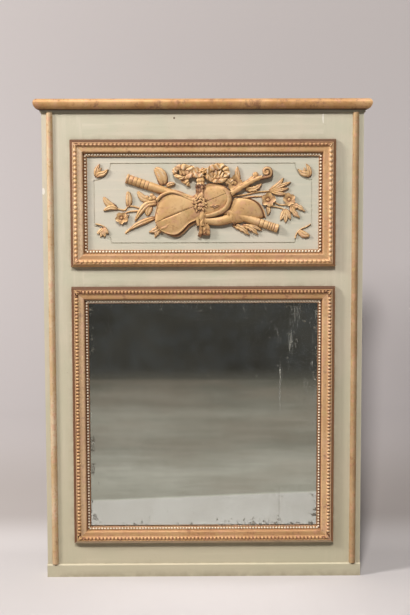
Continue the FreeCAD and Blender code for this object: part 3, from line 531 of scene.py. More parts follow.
class Carving:
    """Collects the surfaces of one carved piece, in mm: x and z from the panel's middle, h above its face.
    It takes the place of one CAD node."""

    def __init__(self, node, relief=1.0, tone=0.0):
        self.node = node
        self.relief = relief
        self.tone = tone
        self.points = []
        self.faces = []
        self.hollow = []

    def sheet(self, x, z, h, hollow):
        """A carved surface with its sides cut down to the ground."""
        rows, columns = h.shape
        flip = self.turns_back(x, z)
        start = len(self.points)
        self.points += [(px * MM, FACE - ph * self.relief * MM, PANEL_MIDDLE + pz * MM)
                        for px, pz, ph in zip(np.ravel(x), np.ravel(z), np.ravel(h))]
        self.hollow += [float(value) + self.tone for value in np.ravel(hollow)]
        self.faces += grid_faces(rows, columns, start, flip)
        self.skirt([start + index for index in grid_rim(rows, columns)], flip)

    def skirt(self, rim, flip):
        """The cut sides below a rim of points."""
        level = FACE - CUT_FLOOR * MM
        start = len(self.points)
        count = len(rim)
        places = [self.points[index] for index in rim]
        self.points += places + [(x, level, z) for x, _, z in places]
        self.hollow += [CUT_TOP_HOLLOW] * count + [CUT_FOOT_HOLLOW] * count
        for number in range(count):
            after = (number + 1) % count
            quad = (start + after, start + number, start + count + number, start + count + after)
            self.faces.append(quad[::-1] if flip else quad)

    def turns_back(self, x, z):
        """Whether the grid's quads would face the panel."""
        middle = x.shape[0] // 2
        one = Vector((x[middle, 0] - x[middle - 1, 0], z[middle, 0] - z[middle - 1, 0]))
        two = Vector((x[middle, -1] - x[middle, 0], z[middle, -1] - z[middle, 0]))
        return one.x * two.y - one.y * two.x < 0

    def done(self, finish):
        name = "carved_" + self.node.removeprefix("trophy_")
        piece = make_piece(name, self.points, self.faces, finish, self.hollow)
        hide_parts(self.node)


def bell(value, middle, reach):
    """A smooth hump: 1 at the middle, and next to nothing at twice the reach."""
    return np.exp(-((value - middle) / reach) ** 2)


def rounded(v):
    """A half circle over v from -1 to 1."""
    return np.sqrt(np.clip(1 - v ** 2, 0, 1))


def along(measure):
    """A width or height along a line, as a function of the way from 0 to 1. It may be given as one number, as
    a pair for the line's two ends, or as such a function."""
    if callable(measure):
        return measure
    first, last = measure if isinstance(measure, tuple) else (measure, measure)
    return lambda u: first + (last - first) * u


def curve(points, count):
    """Places on a smooth line through points, with the unit direction at each."""
    knots = [np.array(point, float) for point in points]
    knots = [2 * knots[0] - knots[1]] + knots + [2 * knots[-1] - knots[-2]]
    places = []
    spans = len(points) - 1
    for number in range(count):
        travel = spans * number / (count - 1)
        span = min(int(travel), spans - 1)
        t = travel - span
        before, here, after, beyond = knots[span:span + 4]
        square = 2 * before - 5 * here + 4 * after - beyond
        cube = 3 * here - before - 3 * after + beyond
        places.append(0.5 * (2 * here + (after - before) * t + square * t ** 2 + cube * t ** 3))
    places = np.array(places)
    heading = np.gradient(places, axis=0)
    heading /= np.maximum(np.linalg.norm(heading, axis=1, keepdims=True), 1e-9)
    return places, heading


def steps(count, across):
    """u from 0 to 1 along a line, and v from -1 to 1 across it, closer together at its sides."""
    u = np.linspace(0, 1, count)[:, None]
    v = np.sin(np.linspace(-math.pi / 2, math.pi / 2, across))[None, :]
    return u, v


def band(carving, points, width, height, count=28, across=11, depth=5.0, painted_highlight=0.0):
    """A carved surface along a line, with its width given as for along. height(u, v) shapes it. Where it lies
    depth below its top it is darker, with soiling and painted shade, and the last argument paints a pale
    highlight on its top."""
    line, heading = curve(points, count)
    side = np.stack([-heading[:, 1], heading[:, 0]], axis=1)
    u, v = steps(count, across)
    half = along(width)(u) / 2
    x = line[:, :1] + side[:, :1] * half * v
    z = line[:, 1:] + side[:, 1:] * half * v
    h = height(u, v) + 0 * x
    # darker low down, with soiling and painted shade, and a painted highlight on the top
    below = (np.quantile(h, 0.97) - h) / depth
    hollow = np.clip(below, 0, 1) ** 1.3 - painted_highlight * np.clip(1 - below / 0.3, 0, 1)
    carving.sheet(x, z, h, hollow)


def leaf(carving, root, tip, width, height=8.0, bend=0.12, point=1.0, lobes=0, *via, lift=2.0):
    """A leaf with a sunk midrib, two raised halves and a lifted tip. It bends to one side or runs through the
    places of via. A small point makes it blunt, and lobes cuts its edge into rounded teeth."""
    start, end = np.array(root, float), np.array(tip, float)
    run = end - start
    middle = (start + end) / 2 + np.array([-run[1], run[0]]) * bend

    def half_width(u):
        full = np.sin(math.pi * (0.06 + 0.94 * u) ** 0.85) ** (0.75 * point)
        teeth = 1 - 0.3 * np.abs(np.sin(math.pi * lobes * u)) ** 3
        return width * np.maximum(full, 0.03) * teeth

    def surface(u, v):
        swell = 0.45 + 0.4 * np.sin(math.pi * u) ** 0.6
        halves = np.sin(math.pi * np.abs(v) ** 0.75) * 0.34
        veins = 0.05 * np.sin(2 * math.pi * (5 * u - 1.6 * np.abs(v)))
        return height * (swell + halves * swell + veins) + lift * u ** 2 - 0.25 * height * np.abs(v) ** 4

    band(carving, [start, *(via or [middle]), end], half_width, surface, count=26, across=13,
         depth=0.7 * height, painted_highlight=0.5)


def leaves(carving, *rows):
    """Leaves, each as a row of what leaf takes: root, tip, width, height, bend, point, lobes, via."""
    for row in rows:
        leaf(carving, *row)


def stem(carving, points, width=5.0):
    """A round stem that thins towards its end."""
    band(carving, points, (width, 0.75 * width),
         lambda u, v: STEM_HEIGHT * (0.45 + 0.55 * rounded(v)) * (1 - 0.15 * u),
         count=8 * len(points), across=7)


def berry(carving, centre, radius, height):
    """A round bud: rings of points that rise towards the middle."""
    turn = np.linspace(0, 2 * math.pi, 17)[:, None]
    ring = np.linspace(1, 0.02, 6)[None, :]
    x = centre[0] + radius * ring * np.cos(turn)
    z = centre[1] + radius * ring * np.sin(turn)
    h = height * (0.5 + 0.5 * rounded(ring)) + 0 * x
    # darker towards its foot: soiling and painted shade
    carving.sheet(x, z, h, np.clip((height - h) / height * 1.4, 0, 1))


def flower(carving, centre, radius, height, start):
    """A wild rose: cupped petals round a button with small seeds. start turns it."""
    middle = np.array(centre, float)
    for number in range(PETALS):
        turn = start + 2 * math.pi * (number + chance.uniform(-0.08, 0.08)) / PETALS
        reach = radius * chance.uniform(0.88, 1.08)
        way = np.array([math.cos(turn), math.sin(turn)])
        line = [middle + way * radius * 0.12, middle + way * reach * 0.55, middle + way * reach]

        def width(u, reach=reach):
            return reach * 0.95 * np.sin(math.pi * (0.12 + 0.80 * u)) ** 0.6

        def surface(u, v):
            cup = 0.5 + 0.42 * np.sin(math.pi * u * 0.62)
            return height * cup + height * 0.2 * v ** 2 - 1.2 * (1 - v ** 2) * u

        band(carving, line, width, surface, count=12, across=9, depth=0.62 * height, painted_highlight=0.5)
    berry(carving, centre, radius * 0.24, height * 0.98)
    for number in range(SEEDS):
        turn = 2 * math.pi * number / SEEDS
        spot = (centre[0] + radius * 0.2 * math.cos(turn), centre[1] + radius * 0.2 * math.sin(turn))
        berry(carving, spot, radius * 0.07, height * 1.02)


def ribbon(carving, points, width, height, folds, swing, count=60, ribs=0.0):
    """A crumpled band of ribbon, with its width and height given as for along: ridges with sharp creases
    beside them lie across it, each its own size, and ribs run along it where it is gathered."""
    ridges = []
    for number in range(folds):
        place = (number + chance.uniform(0.2, 0.8)) / folds
        size = chance.uniform(0.6, 1.25)
        slant = chance.uniform(-0.5, 0.5)
        ridges.append((place, size, slant))

    def crumple(u, v):
        rise = 0
        for place, size, slant in ridges:
            away = (u - place) * folds - slant * v
            rise = rise + size * (bell(away, 0, 0.30) - 1.1 * bell(away, 0.48, 0.11))
        return rise

    def full_width(u):
        return along(width)(u) * (1 + 0.13 * crumple(u, 0 * u))

    def surface(u, v):
        ribbed = ribs * np.cos(3 * math.pi * v)
        return along(height)(u) + swing * crumple(u, v) + ribbed - 1.6 * np.abs(v) ** 3

    band(carving, points, full_width, surface, count=count, across=13, depth=3.2 * (swing + ribs) + 1,
         painted_highlight=0.55)


# ---- the violin ----

# The violin's own frame: from a point of its string line, along the strings. Each profile is one edge of its
# body, as distances along and away from that line.
VIOLIN_CENTRE = np.array([-79.0, -30.3])
VIOLIN_ANGLE = math.radians(22.2)
UPPER_EDGE = [(-72, 0), (-69, 13), (-61, 28), (-50, 43), (-40, 58), (-26, 71), (-8, 77), (13, 73), (34, 59),
              (48, 44), (58, 34), (68, 31.5), (82, 37), (103, 46), (123, 46.5), (143, 39), (161, 26), (172, 11),
              (175, 0)]
LOWER_EDGE = [(-72, 0), (-72, -12), (-69, -26), (-61, -40), (-47, -54.5), (-33, -64), (-17, -66.5), (2, -61),
              (20, -53), (36, -50), (52, -49), (70, -47.5), (88, -51), (112, -53.5), (137, -48.5), (156, -39),
              (169, -22), (173, -8), (175, 0)]
FACE_SHARES = np.array([0, 0.012, 0.03, 0.12, 0.25, 0.38, 0.52, 0.66, 0.78, 0.88, 0.94, 0.975, 1.0])[None, :]
RIB_SHARES = np.array([0.06, 0.2, 0.5, 0.8, 1.0])[None, :]
VIOLIN_TOP = 18.0
VIOLIN_EDGE = VIOLIN_TOP - 5.6
SEAM_DEPTH = 2.6
RIB_DROP = 6.5
SCROLL = (194, 95)


def from_violin(run, away):
    cos, sin = math.cos(VIOLIN_ANGLE), math.sin(VIOLIN_ANGLE)
    return VIOLIN_CENTRE[0] + run * cos - away * sin, VIOLIN_CENTRE[1] + run * sin + away * cos


def violin_half(edge, side, rib):
    """One half of the body, from the string line to an edge: the arched top, its lip, and the rib below it.
    side is 1 above the line and -1 below. rib gives the width of the rib that shows, from 0 to 1 along the
    edge."""
    line = curve(edge, 96)[0]
    u = np.linspace(0, 1, len(line))[:, None]
    reach = np.maximum(np.abs(line[:, 1:]), 0.5)
    inner = np.clip(1 - rib(u) / reach, 0.2, 0.985)
    share = np.concatenate([inner * FACE_SHARES, inner + (1 - inner) * RIB_SHARES], axis=1)
    dome = 4.6 * (1 - FACE_SHARES ** 2.4) + 1.2 * bell(FACE_SHARES, 0.97, 0.03)
    seam = bell(FACE_SHARES, 0, 0.014)
    groove = 1.2 * bell(FACE_SHARES, 0.90, 0.025)
    top = VIOLIN_EDGE + dome - SEAM_DEPTH * seam - groove
    drop = VIOLIN_EDGE - RIB_DROP * (0.62 + 0.38 * RIB_SHARES)
    h = np.concatenate([top, drop], axis=1) + 0 * u
    # the seam and the groove are darker, and the rib down the body's side is painted dark: painted shade
    hollow = np.concatenate([np.clip(seam + groove * 0.35, 0, 1), 0.95 - 0.55 * RIB_SHARES], axis=1) + 0 * u
    x, z = from_violin(line[:, :1] + 0 * share, side * reach * share)
    return x, z, h, hollow


def violin_body():
    carving = Carving("trophy_violin")
    carving.sheet(*violin_half(UPPER_EDGE, 1, lambda u: 3.5 + 5.0 * bell(u, 0.36, 0.14)))
    carving.sheet(*violin_half(LOWER_EDGE, -1,
                               lambda u: 3.0 + 7.0 * bell(u, 0.42, 0.20) + 6.0 * bell(u, 0.82, 0.14)))
    crescent = [(64, 46), (74, 36), (80, 23), (81.5, 10), (78, -3), (71, -15), (57, -26), (38, -33.5),
                (22, -38), (8, -40)]
    band(carving, crescent, lambda u: 11 + 6 * np.sin(math.pi * (0.10 + 0.80 * u)),
         lambda u, v: VIOLIN_TOP + 1.2 - 2.8 * (v + 0.45) ** 2, count=44, across=15, painted_highlight=0.32)
    leaf(carving, (20, -21), (58, -6), 9, VIOLIN_TOP - 1, lift=0)
    leaf(carving, (14, -10), (38, -2), 7, VIOLIN_TOP - 1, bend=-0.1, lift=0)
    tail = [(-128, -76), (-115, -72), (-104, -62)]
    band(carving, tail, lambda u: 13 * np.sin(math.pi * (0.12 + 0.7 * u)), lambda u, v: 17 - 2.5 * v ** 2,
         count=14, across=9, depth=3)
    scarf = [(-140, 8), (-124, 24), (-98, 33), (-70, 27), (-46, 14), (-24, 6)]
    band(carving, scarf, (13, 8), lambda u, v: VIOLIN_TOP - 2.6 + 1.6 * np.cos(2.2 * v - 0.6), count=40,
         depth=2.4)
    return carving


def violin_neck():
    carving = Carving("trophy_violin_neck")
    band(carving, [(80, 26), (118, 49), (152, 68), (180, 80)], (17, 12),
         lambda u, v: 13.5 - 2.5 * v ** 2 + 0.8 * np.sin(2 * math.pi * 5 * u), count=34, across=9, depth=4)
    volute = [(170, 74), (186, 78)]
    for number in range(15):
        turn = math.radians(-60 + 34 * number)
        reach = 15.5 * (1 - number / 17)
        volute.append((SCROLL[0] + reach * math.cos(turn), SCROLL[1] + reach * math.sin(turn)))
    band(carving, volute, (12, 5), lambda u, v: 12.5 + 4.0 * u - 2.8 * v ** 2, count=90, across=7)
    berry(carving, SCROLL, 12, 11)
    return carving


# ---- the other instruments ----

FLUTE_START = np.array([-233.0, 76.0])
FLUTE_END = np.array([229.0, -78.0])
FLUTE_RADIUS = 13.0
FLUTE_AXIS = 1.0
GROOVE_STEPS = (-2.4, -1.6, -0.9, 0, 0.9, 1.6, 2.4)
MOUTH_LIP = 0.955
MOUTH_RING = 0.12


def horn():
    """The horn's tube, its collar and its wide mouth, which opens up and to the right."""
    carving = Carving("trophy_horn")
    band(carving, [(8, -52), (50, -54), (88, -44)], (26, 34), lambda u, v: 3 + 12 * rounded(v), count=22,
         across=15, depth=11)
    upper = curve([(76, -20), (84, 0), (103, 17)], 30)[0]
    lower = curve([(98, -63), (122, -58), (146, -47), (192, -45)], 30)[0]
    u, v = steps(30, 25)
    share = (v + 1) / 2
    bulge = 26 * u ** 1.3 * (1 - v ** 2)
    x = upper[:, :1] * (1 - share) + lower[:, :1] * share + 0.67 * bulge
    z = upper[:, 1:] * (1 - share) + lower[:, 1:] * share + 0.74 * bulge
    h = 3 + (10.5 + 2 * u) * rounded(v) - 5 * bell(u, MOUTH_LIP, 0.02)
    h = h + 1.6 * bell(u, 0.05, 0.03) - 1.5 * bell(u, MOUTH_RING, 0.02)
    # darker in the creases and at the mouth's edges: soiling and painted shade
    creases = bell(u, MOUTH_LIP, 0.025) + 0.7 * bell(u, MOUTH_RING, 0.02)
    sides = 4 * np.clip(np.abs(v) - 0.9, 0, 1)
    carving.sheet(x, z, h, np.clip(creases + sides, 0, 1))
    band(carving, [(74, -16), (80, -40), (98, -64)], 9,
         lambda u, v: 12 + 3 * np.sin(math.pi * u) - 2.5 * v ** 2 - 2 * bell(v, 0, 0.15), count=20, depth=4)
    return carving


def flute():
    """A turned pipe: a raised ring at both ends, and turned grooves near them."""
    carving = Carving("trophy_flute")
    run = FLUTE_END - FLUTE_START
    length = float(np.linalg.norm(run))
    way = run / length
    side = np.array([-way[1], way[0]])
    rings = [2.5, 8, 21, 33.5, 46, 58, 70] + [length - back for back in (60, 47, 33, 26, 19, 12, 3)]
    beside_rings = {min(max(ring + offset, 0), length) for ring in rings for offset in GROOVE_STEPS}
    stations = sorted({0.0, length} | beside_rings | set(np.linspace(80, length - 66, 20)))
    place = np.array(stations)[:, None]
    rise = 0.7 * (bell(place, rings[0], 2.4) + bell(place, rings[-1], 2.4))
    groove = sum(bell(place, ring, 1.0) for ring in rings[1:-1])
    taper = 1.10 - 0.12 * np.minimum(place / 120, 1)
    radius = FLUTE_RADIUS * taper + rise - groove
    tilt = np.linspace(-math.pi * 0.54, math.pi * 0.54, 21)[None, :]
    across = radius * np.sin(tilt)
    x = FLUTE_START[0] + way[0] * place + side[0] * across
    z = FLUTE_START[1] + way[1] * place + side[1] * across
    h = FLUTE_AXIS + radius * np.cos(tilt)
    # darker low down, near the panel: painted shade
    low = np.clip((4 - h) / 4, 0, 1) * 0.9
    carving.sheet(x, z, h, np.clip(np.clip(groove, 0, 1) + low, 0, 1))
    return carving


# ---- leaves and flowers ----

def spray_left():
    carving = Carving("trophy_spray_left", relief=0.72)
    stem(carving, [(-137, 4), (-165, 14), (-180, 20)])
    stem(carving, [(-195, -14), (-212, -9), (-229, -9), (-239, -20), (-262, -16)])
    stem(carving, [(-190, -22), (-208, -23), (-230, -26), (-246, -36)])
    leaves(carving,
           ((-137, 1), (-209, -54), 20, 9, 0, 0.8, 0, (-168, -2), (-189, -22)),
           ((-158, -8), (-170, -38), 22, 7, -0.10, 0.7),
           ((-156, 8), (-200, 37), 21, 8, 0.15, 0.6),
           ((-228, -10), (-229, 37), 20, 8, -0.06, 0.6),
           ((-260, -16), (-304, -22), 15, 8, -0.16, 0.7),
           ((-266, -12), (-304, 20), 19, 6, 0.12, 0.6),
           ((-146, -43), (-226, -80), 17, 8, 0, 0.7, 0, (-172, -52), (-200, -64)))
    stem(carving, [(-216, -74), (-228, -82), (-238, -91)], width=8)
    leaves(carving,
           ((-126, -64), (-166, -88), 20, 8, 0.10, 1, 3),
           ((-124, -74), (-148, -104), 18, 7, -0.10, 1, 3))
    flower(carving, (-249, -44), 19, height=10, start=0.9)
    leaf(carving, (-238, -48), (-226, -34), 9, height=9)
    for spot in ((-171, 18), (-160, 14), (-149, 17), (-156, 24)):
        berry(carving, spot, 6.5, 9)
    return carving


def leaf_upper():
    carving = Carving("trophy_leaf_upper", relief=0.8)
    leaves(carving,
           ((-120, 56), (-146, 108), 34, 8, -0.12, 0.55),
           ((-112, 52), (-84, 60), 14, 9, 0.10))
    return carving


def spray_right():
    carving = Carving("trophy_spray_right", relief=0.72)
    stem(carving, [(84, 22), (122, 25), (161, 33), (204, 37)])
    stem(carving, [(95, 12), (150, 20), (180, 21)])
    stem(carving, [(216, 4), (236, -5), (262, -5)], width=4.5)
    stem(carving, [(204, -8), (236, -14), (254, -22)], width=4.5)
    stem(carving, [(100, 42), (120, 54), (150, 82)])
    ribbon(carving, [(68, 62), (82, 69), (93, 61)], (13, 11), 12, folds=4, swing=1.6, count=36)
    leaves(carving,
           ((110, 66), (105, 112), 17, 8, 0.05),
           ((112, 54), (166, 88), 19, 9, -0.12, 0.8))
    berry(carving, (160, 86), 9, 11)
    leaf(carving, (128, 42), (180, 59), 20, height=9, bend=-0.14, point=0.8, lobes=4)
    berry(carving, (136, 46), 8, 11)
    for tip, width in (((268, 64), 15), ((246, 77), 15), ((256, 28), 13), ((262, 46), 13)):
        leaf(carving, (202, 38), tip, width, bend=chance.uniform(-0.1, 0.1))
    flower(carving, (97, 61), 24, height=11, start=0.2)
    flower(carving, (198, 10), 22, height=11, start=0.1)
    leaf(carving, (198, -8), (196, -36), 14)
    flower(carving, (263, 11), 20, height=10, start=0.6)
    leaves(carving,
           ((266, -4), (313, -26), 17, 8, 0.08, 1, 3),
           ((266, -4), (296, -46), 19, 8, -0.08, 1, 3),
           ((250, -18), (236, -52), 16, 7, 0.05),
           ((250, -18), (252, -60), 16, 7, 0.05),
           ((250, -18), (268, -50), 16, 7, 0.05))
    return carving


def leaves_lower():
    carving = Carving("trophy_leaves_lower", relief=0.8)
    leaves(carving,
           ((90, -66), (143, -98), 20, 9, 0.08, 1, 4),
           ((120, -66), (169, -97), 20, 9, 0.10, 1, 4),
           ((128, -70), (180, -84), 13, 7))
    return carving


# The leaves in the panel's corners, drawn for the top left one: the line of a stem, and rows as for leaves.
SPREAD_LEAF = (None, (
    ((-325, 80), (-314, 120), 15, 7, 0, 1, 0, (-325, 92), (-322, 106)),
    ((-325, 80), (-288, 104), 19, 8, 0, 1, 0, (-316, 88), (-303, 91)),
    ((-316, 92), (-309, 108), 9, 8, 0.12, 1, 0),
))
SHELL_LEAF = ([(-329, 62), (-312, 66), (-296, 74)], [
    ((-306, 74), tip, 12, 7, 0.05, 0.6, 0) for tip in ((-324, 92), (-314, 102), (-301, 102), (-290, 92))
])
HOOKED_LEAF = ([(-282, 107), (-287, 92), (-298, 80), (-316, 72), (-329, 64)], (
    ((-292, 84), (-326, 100), 20, 8, -0.10, 0.6, 0),
    ((-290, 86), (-306, 106), 13, 7, 0.10, 0.7, 0),
))
CORNERS = (
    # node, whether it is turned over across and upwards, drawing
    ("corner_leaf_top_left", 1, 1, SPREAD_LEAF),
    ("corner_leaf_top_right", -1, 1, SPREAD_LEAF),
    ("corner_leaf_bottom_left", 1, -1, SHELL_LEAF),
    ("corner_leaf_bottom_right", -1, -1, HOOKED_LEAF),
)


def corner_leaf(node, flip_x, flip_z, drawing):
    carving = Carving(node, relief=0.75)

    def spots(places):
        return [(flip_x * x, flip_z * z) for x, z in places]

    line, rows = drawing
    if line:
        stem(carving, spots(line), width=4)
    for root, tip, *shape, via in [(*row[:7], row[7:]) for row in rows]:
        leaf(carving, *spots([root, tip]), *shape, *spots(via))
    return carving


# ---- the ribbon ----

def ribbon_bow():
    """Two crumpled loops with the gathered middle between them, and the ends that fall from them."""
    carving = Carving("trophy_ribbon_bow")
    left = [(2, 92), (-15, 99), (-36, 105), (-58, 110), (-77, 107), (-86, 96), (-80, 83), (-60, 77), (-40, 83),
            (-20, 86), (2, 86)]
    right = [(8, 92), (24, 105), (42, 111), (58, 110), (71, 101), (72, 84), (58, 69), (39, 67), (22, 74),
             (8, 86)]
    rows = (
        # line, width, height, folds, swing, count, ribs
        ([(-72, 95), (-44, 96), (-14, 93)], 20, (10, 12), 6, 1.2, 60, 0),
        ([(14, 86), (32, 92), (50, 92), (62, 84)], 17, 10, 5, 1.8, 60, 0),
        ([(24, 79), (42, 80), (60, 79)], 12, 9, 4, 1.6, 50, 0),
        ([(-43, 84), (-51, 72), (-43, 53)], (15, 11), (11, 9), 4, 1.8, 40, 0),
        ([(-64, 80), (-63, 68), (-52, 60)], (10, 7), (9, 7), 3, 1.4, 30, 0),
        (left, lambda u: 14 + 3 * np.sin(7 * u), 13, 12, 2.0, 230, 0),
        (right, lambda u: 15 + 3 * np.sin(6 * u), 14, 11, 2.0, 210, 0),
        ([(-9, 98), (-8, 76), (-7, 53)], (24, 22), 13, 4, 1.2, 50, 1.0),
    )
    for row in rows:
        ribbon(carving, *row)
    berry(carving, (2, 98), 9, 17)
    for number in range(5):
        turn = math.radians(40 + 72 * number)
        berry(carving, (2 + 8 * math.cos(turn), 98 + 7 * math.sin(turn)), 4.5, 18)
    return carving


def ribbon_knot():
    """The gathered ribbon that ties the instruments together."""
    carving = Carving("trophy_ribbon_knot", tone=0.28)
    for start, end, width, top in ((-19, -19, 8, 12), (-11, -11, 8, 15), (-3, -4, 8, 17), (5, 4, 8, 13)):
        ribbon(carving, [(start, 58), ((start + end) / 2 + 1, 38), (end, 14)], (width, width + 2),
               (top, top + 3), folds=3, swing=0.9, count=40)
    for start, end, width, top in ((-16, -15, 11, 14), (-3, -3, 14, 16.5), (8, 5, 9, 14)):
        ribbon(carving, [(start, -18), ((start + end) / 2 - 1, -44), (end, -68)], (width, width - 1.5), top,
               folds=2, swing=0.9, count=44, ribs=0.5)
    carving.tone = 0.62
    for turn in ([(-29, 6), (-18, 15), (-4, 15), (9, 8)], [(-31, -3), (-17, 6), (0, 5), (12, -3)],
                 [(-29, -15), (-15, -6), (1, -6), (13, -12)], [(-22, -26), (-11, -15), (6, -22)],
                 [(11, 15), (1, 2), (-11, -24)], [(-24, 14), (-20, 0), (-24, -20)]):
        ribbon(carving, turn, lambda u: 9 - 4 * np.abs(2 * u - 1) ** 3, 19.2, folds=4, swing=1.1, count=40)
    return carving


def ribbon_tails():
    carving = Carving("trophy_ribbon_tails", tone=0.24)
    for line, width in (([(-7, -62), (-7, -84), (-11, -101)], 9), ([(3, -62), (5, -80), (4, -97)], 11),
                        ([(11, -62), (16, -80), (14, -98)], 9)):
        ribbon(carving, line, (width, width + 3), (13, 10), folds=2, swing=0.9, count=44, ribs=0.9)
    return carving


def make_trophy(finish):
    for build in (flute, leaf_upper, spray_left, spray_right, leaves_lower, horn, violin_body, violin_neck,
                  ribbon_tails, ribbon_bow, ribbon_knot):
        build().done(finish)
    for corner in CORNERS:
        corner_leaf(*corner).done(finish)


# ---- the mirror ----

PLATE_COLUMNS = 60
PLATE_ROWS = 66
GLASS_GAP = 0.0001
SILVER_WAVE = 0.00004


def wavy_plate(name, node, finish, wave=0.0, gap=0.0):
    """A plate in the space of its node, with a slightly uneven front and its back a gap further forward."""
    low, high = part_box(node)
    columns, rows = PLATE_COLUMNS + 1, PLATE_ROWS + 1
    front, back = [], []
    for row in range(rows):
        for column in range(columns):
            x = low.x + (high.x - low.x) * column / PLATE_COLUMNS
            z = low.z + (high.z - low.z) * row / PLATE_ROWS
            lift = wave * (math.sin(9 * x + 2.1 * z) + math.sin(7.3 * z - 3.2 * x + 1))
            front.append((x, low.y + abs(lift), z))
            back.append((x, high.y - gap, z))
    count = rows * columns
    faces = grid_faces(rows, columns) + grid_faces(rows, columns, count, flip=True)
    rim = grid_rim(rows, columns)
    for number, index in enumerate(rim):
        after = rim[(number + 1) % len(rim)]
        faces.append((after, after + count, index + count, index))
    piece = make_piece(name, front + back, faces, finish)
    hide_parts(node)
    return piece


def make_mirror():
    glass = wavy_plate("glass_plate", "mirror_glass", old_glass("old_glass"), gap=GLASS_GAP)
    glass.visible_shadow = False
    wavy_plate("silvered_layer", "mirror_silvering", silvered("silvering"), wave=SILVER_WAVE)


# ---- finishes of the CAD nodes that stay ----

def dress_nodes():
    paint_across = painted("paint_across", ALONG_X, [
        ("chip", 0.366, 1.425, 0.003, 0.016),
        ("crack", -0.087, 1.4255, 0.0030, 0.0030),
        ("crack", -0.370, 1.418, 0.0007, 0.030),
        ("crack", 0.369, 1.385, 0.0006, 0.040),
    ])
    paint_panel = painted("paint_panel", ALONG_X, dirt_and_shade=0.4, main=colour(216, 208, 191),
                          green=colour(206, 204, 185))
    paint_fillet = painted("paint_fillet", ALONG_X, dirt_and_shade=0.0)
    paint_up = painted("paint_up", ALONG_Z, [("chip", -0.487, 1.205, 0.005, 0.011)])
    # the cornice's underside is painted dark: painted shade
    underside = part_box("cornice_front")[0].z
    cornice_gold = gilded("gilding_cornice", colour(194, 144, 90), colour(220, 176, 124), worn=0.55,
                          underside_shade=(underside + 0.001, underside + 0.005))
    # one gilding in two copies: painted lighter on the left moulding and darker on the right one, as painted
    # light and shade
    left_gold_painted_light = gilded("gilding_left_edge_painted_light", colour(206, 174, 132), colour(222, 198, 164), worn=0.62)
    right_gold_painted_shade = gilded("gilding_right_edge_painted_shade", colour(172, 138, 98), colour(194, 162, 122), worn=0.60)
    finishes = (
        # how a node's name starts, finish; the first that fits counts
        (("stile", "side_board"), paint_up),
        (("top_rail", "middle_rail", "bottom_rail", "plinth", "frame_pegs"), paint_across),
        (("relief_panel",), paint_panel),
        (("cornice_fillet",), paint_fillet),
        (("cornice",), cornice_gold),
        (("side_moulding_left",), left_gold_painted_light),
        (("side_moulding_right",), right_gold_painted_shade),
        (("hanger", "batten_nails", "backboard_nails", "moulding_pins"), iron("iron")),
        (("",), bare("bare_wood_across", ALONG_X)),
    )
    for name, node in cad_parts.items():
        finish = next(made for starts, made in finishes if name.startswith(starts))
        node.data.materials.clear()
        node.data.materials.append(finish)


# ---- stage, lights and camera ----

PAPER_FLOOR = colour(202, 197, 196)
# the curve and the top of the wall are painted darker: painted shade
PAPER_CURVE_SHADE = colour(168, 161, 158)
PAPER_WALL = colour(203, 197, 197)
PAPER_HIGH_SHADE = colour(187, 181, 180)
PAPER_UNSEEN = colour(120, 114, 108)
PAPER_HALF = 7.0
BACKDROP_DISTANCE = 0.62
BACKDROP_CURVE = 0.40
BACKDROP_HEIGHT = 4.5
CURVE_STEPS = 12
PALE_FLOOR_REACH = 0.983
PALE_FLOOR_SLANT = 0.138
ROOM_REACH = 4.0
ROOM_HALF = 5.0
ROOM_HEIGHT = 3.0
ROOM_FLOOR_LEVEL = 0.002


def stage_sheet(name, points, columns, finish):
    mesh = bpy.data.meshes.new(name)
    mesh.from_pydata(points, [], grid_faces(len(points) // columns, columns))
    mesh.polygons.foreach_set("use_smooth", [True] * len(mesh.polygons))
    mesh.materials.append(finish)
    made = bpy.data.objects.new(name, mesh)
    bpy.context.scene.collection.objects.link(made)
    return made


def paper(name):
    """Pale backdrop paper, seen only from its front. It throws little light back at the object, whose
    undercuts are dark in the photo."""
    f = Finish(name)
    height = f.axis("Z")
    # painted shade: the paper is darker where it curves up and high on the wall
    tint = f.mix(f.step(height, 0.0, 0.08), PAPER_FLOOR, PAPER_CURVE_SHADE)
    tint = f.mix(f.step(height, 0.12, 0.45), tint, PAPER_WALL)
    tint = f.mix(f.step(height, 0.7, 2.0), tint, PAPER_HIGH_SHADE)
    ray = f.node("ShaderNodeLightPath").outputs
    seen = f.larger(f.larger(ray["Is Camera Ray"], ray["Is Glossy Ray"]), ray["Is Transmission Ray"])
    tint = f.mix(seen, PAPER_UNSEEN, tint)
    f.set(Base_Color=tint, Roughness=0.9, Specular_IOR_Level=0.1)
    f.bump(f.noise(60), 0.001, 0.2)
    choose = f.node("ShaderNodeMixShader")
    f.put(choose.inputs[0], f.node("ShaderNodeNewGeometry").outputs["Backfacing"])
    f.put(choose.inputs[1], f.shader.outputs[0])
    f.put(choose.inputs[2], f.node("ShaderNodeBsdfTransparent").outputs[0])
    return f.show(choose.outputs[0])


def glow(f, tint):
    return f.show(f.node("ShaderNodeEmission", Color=tint).outputs[0])


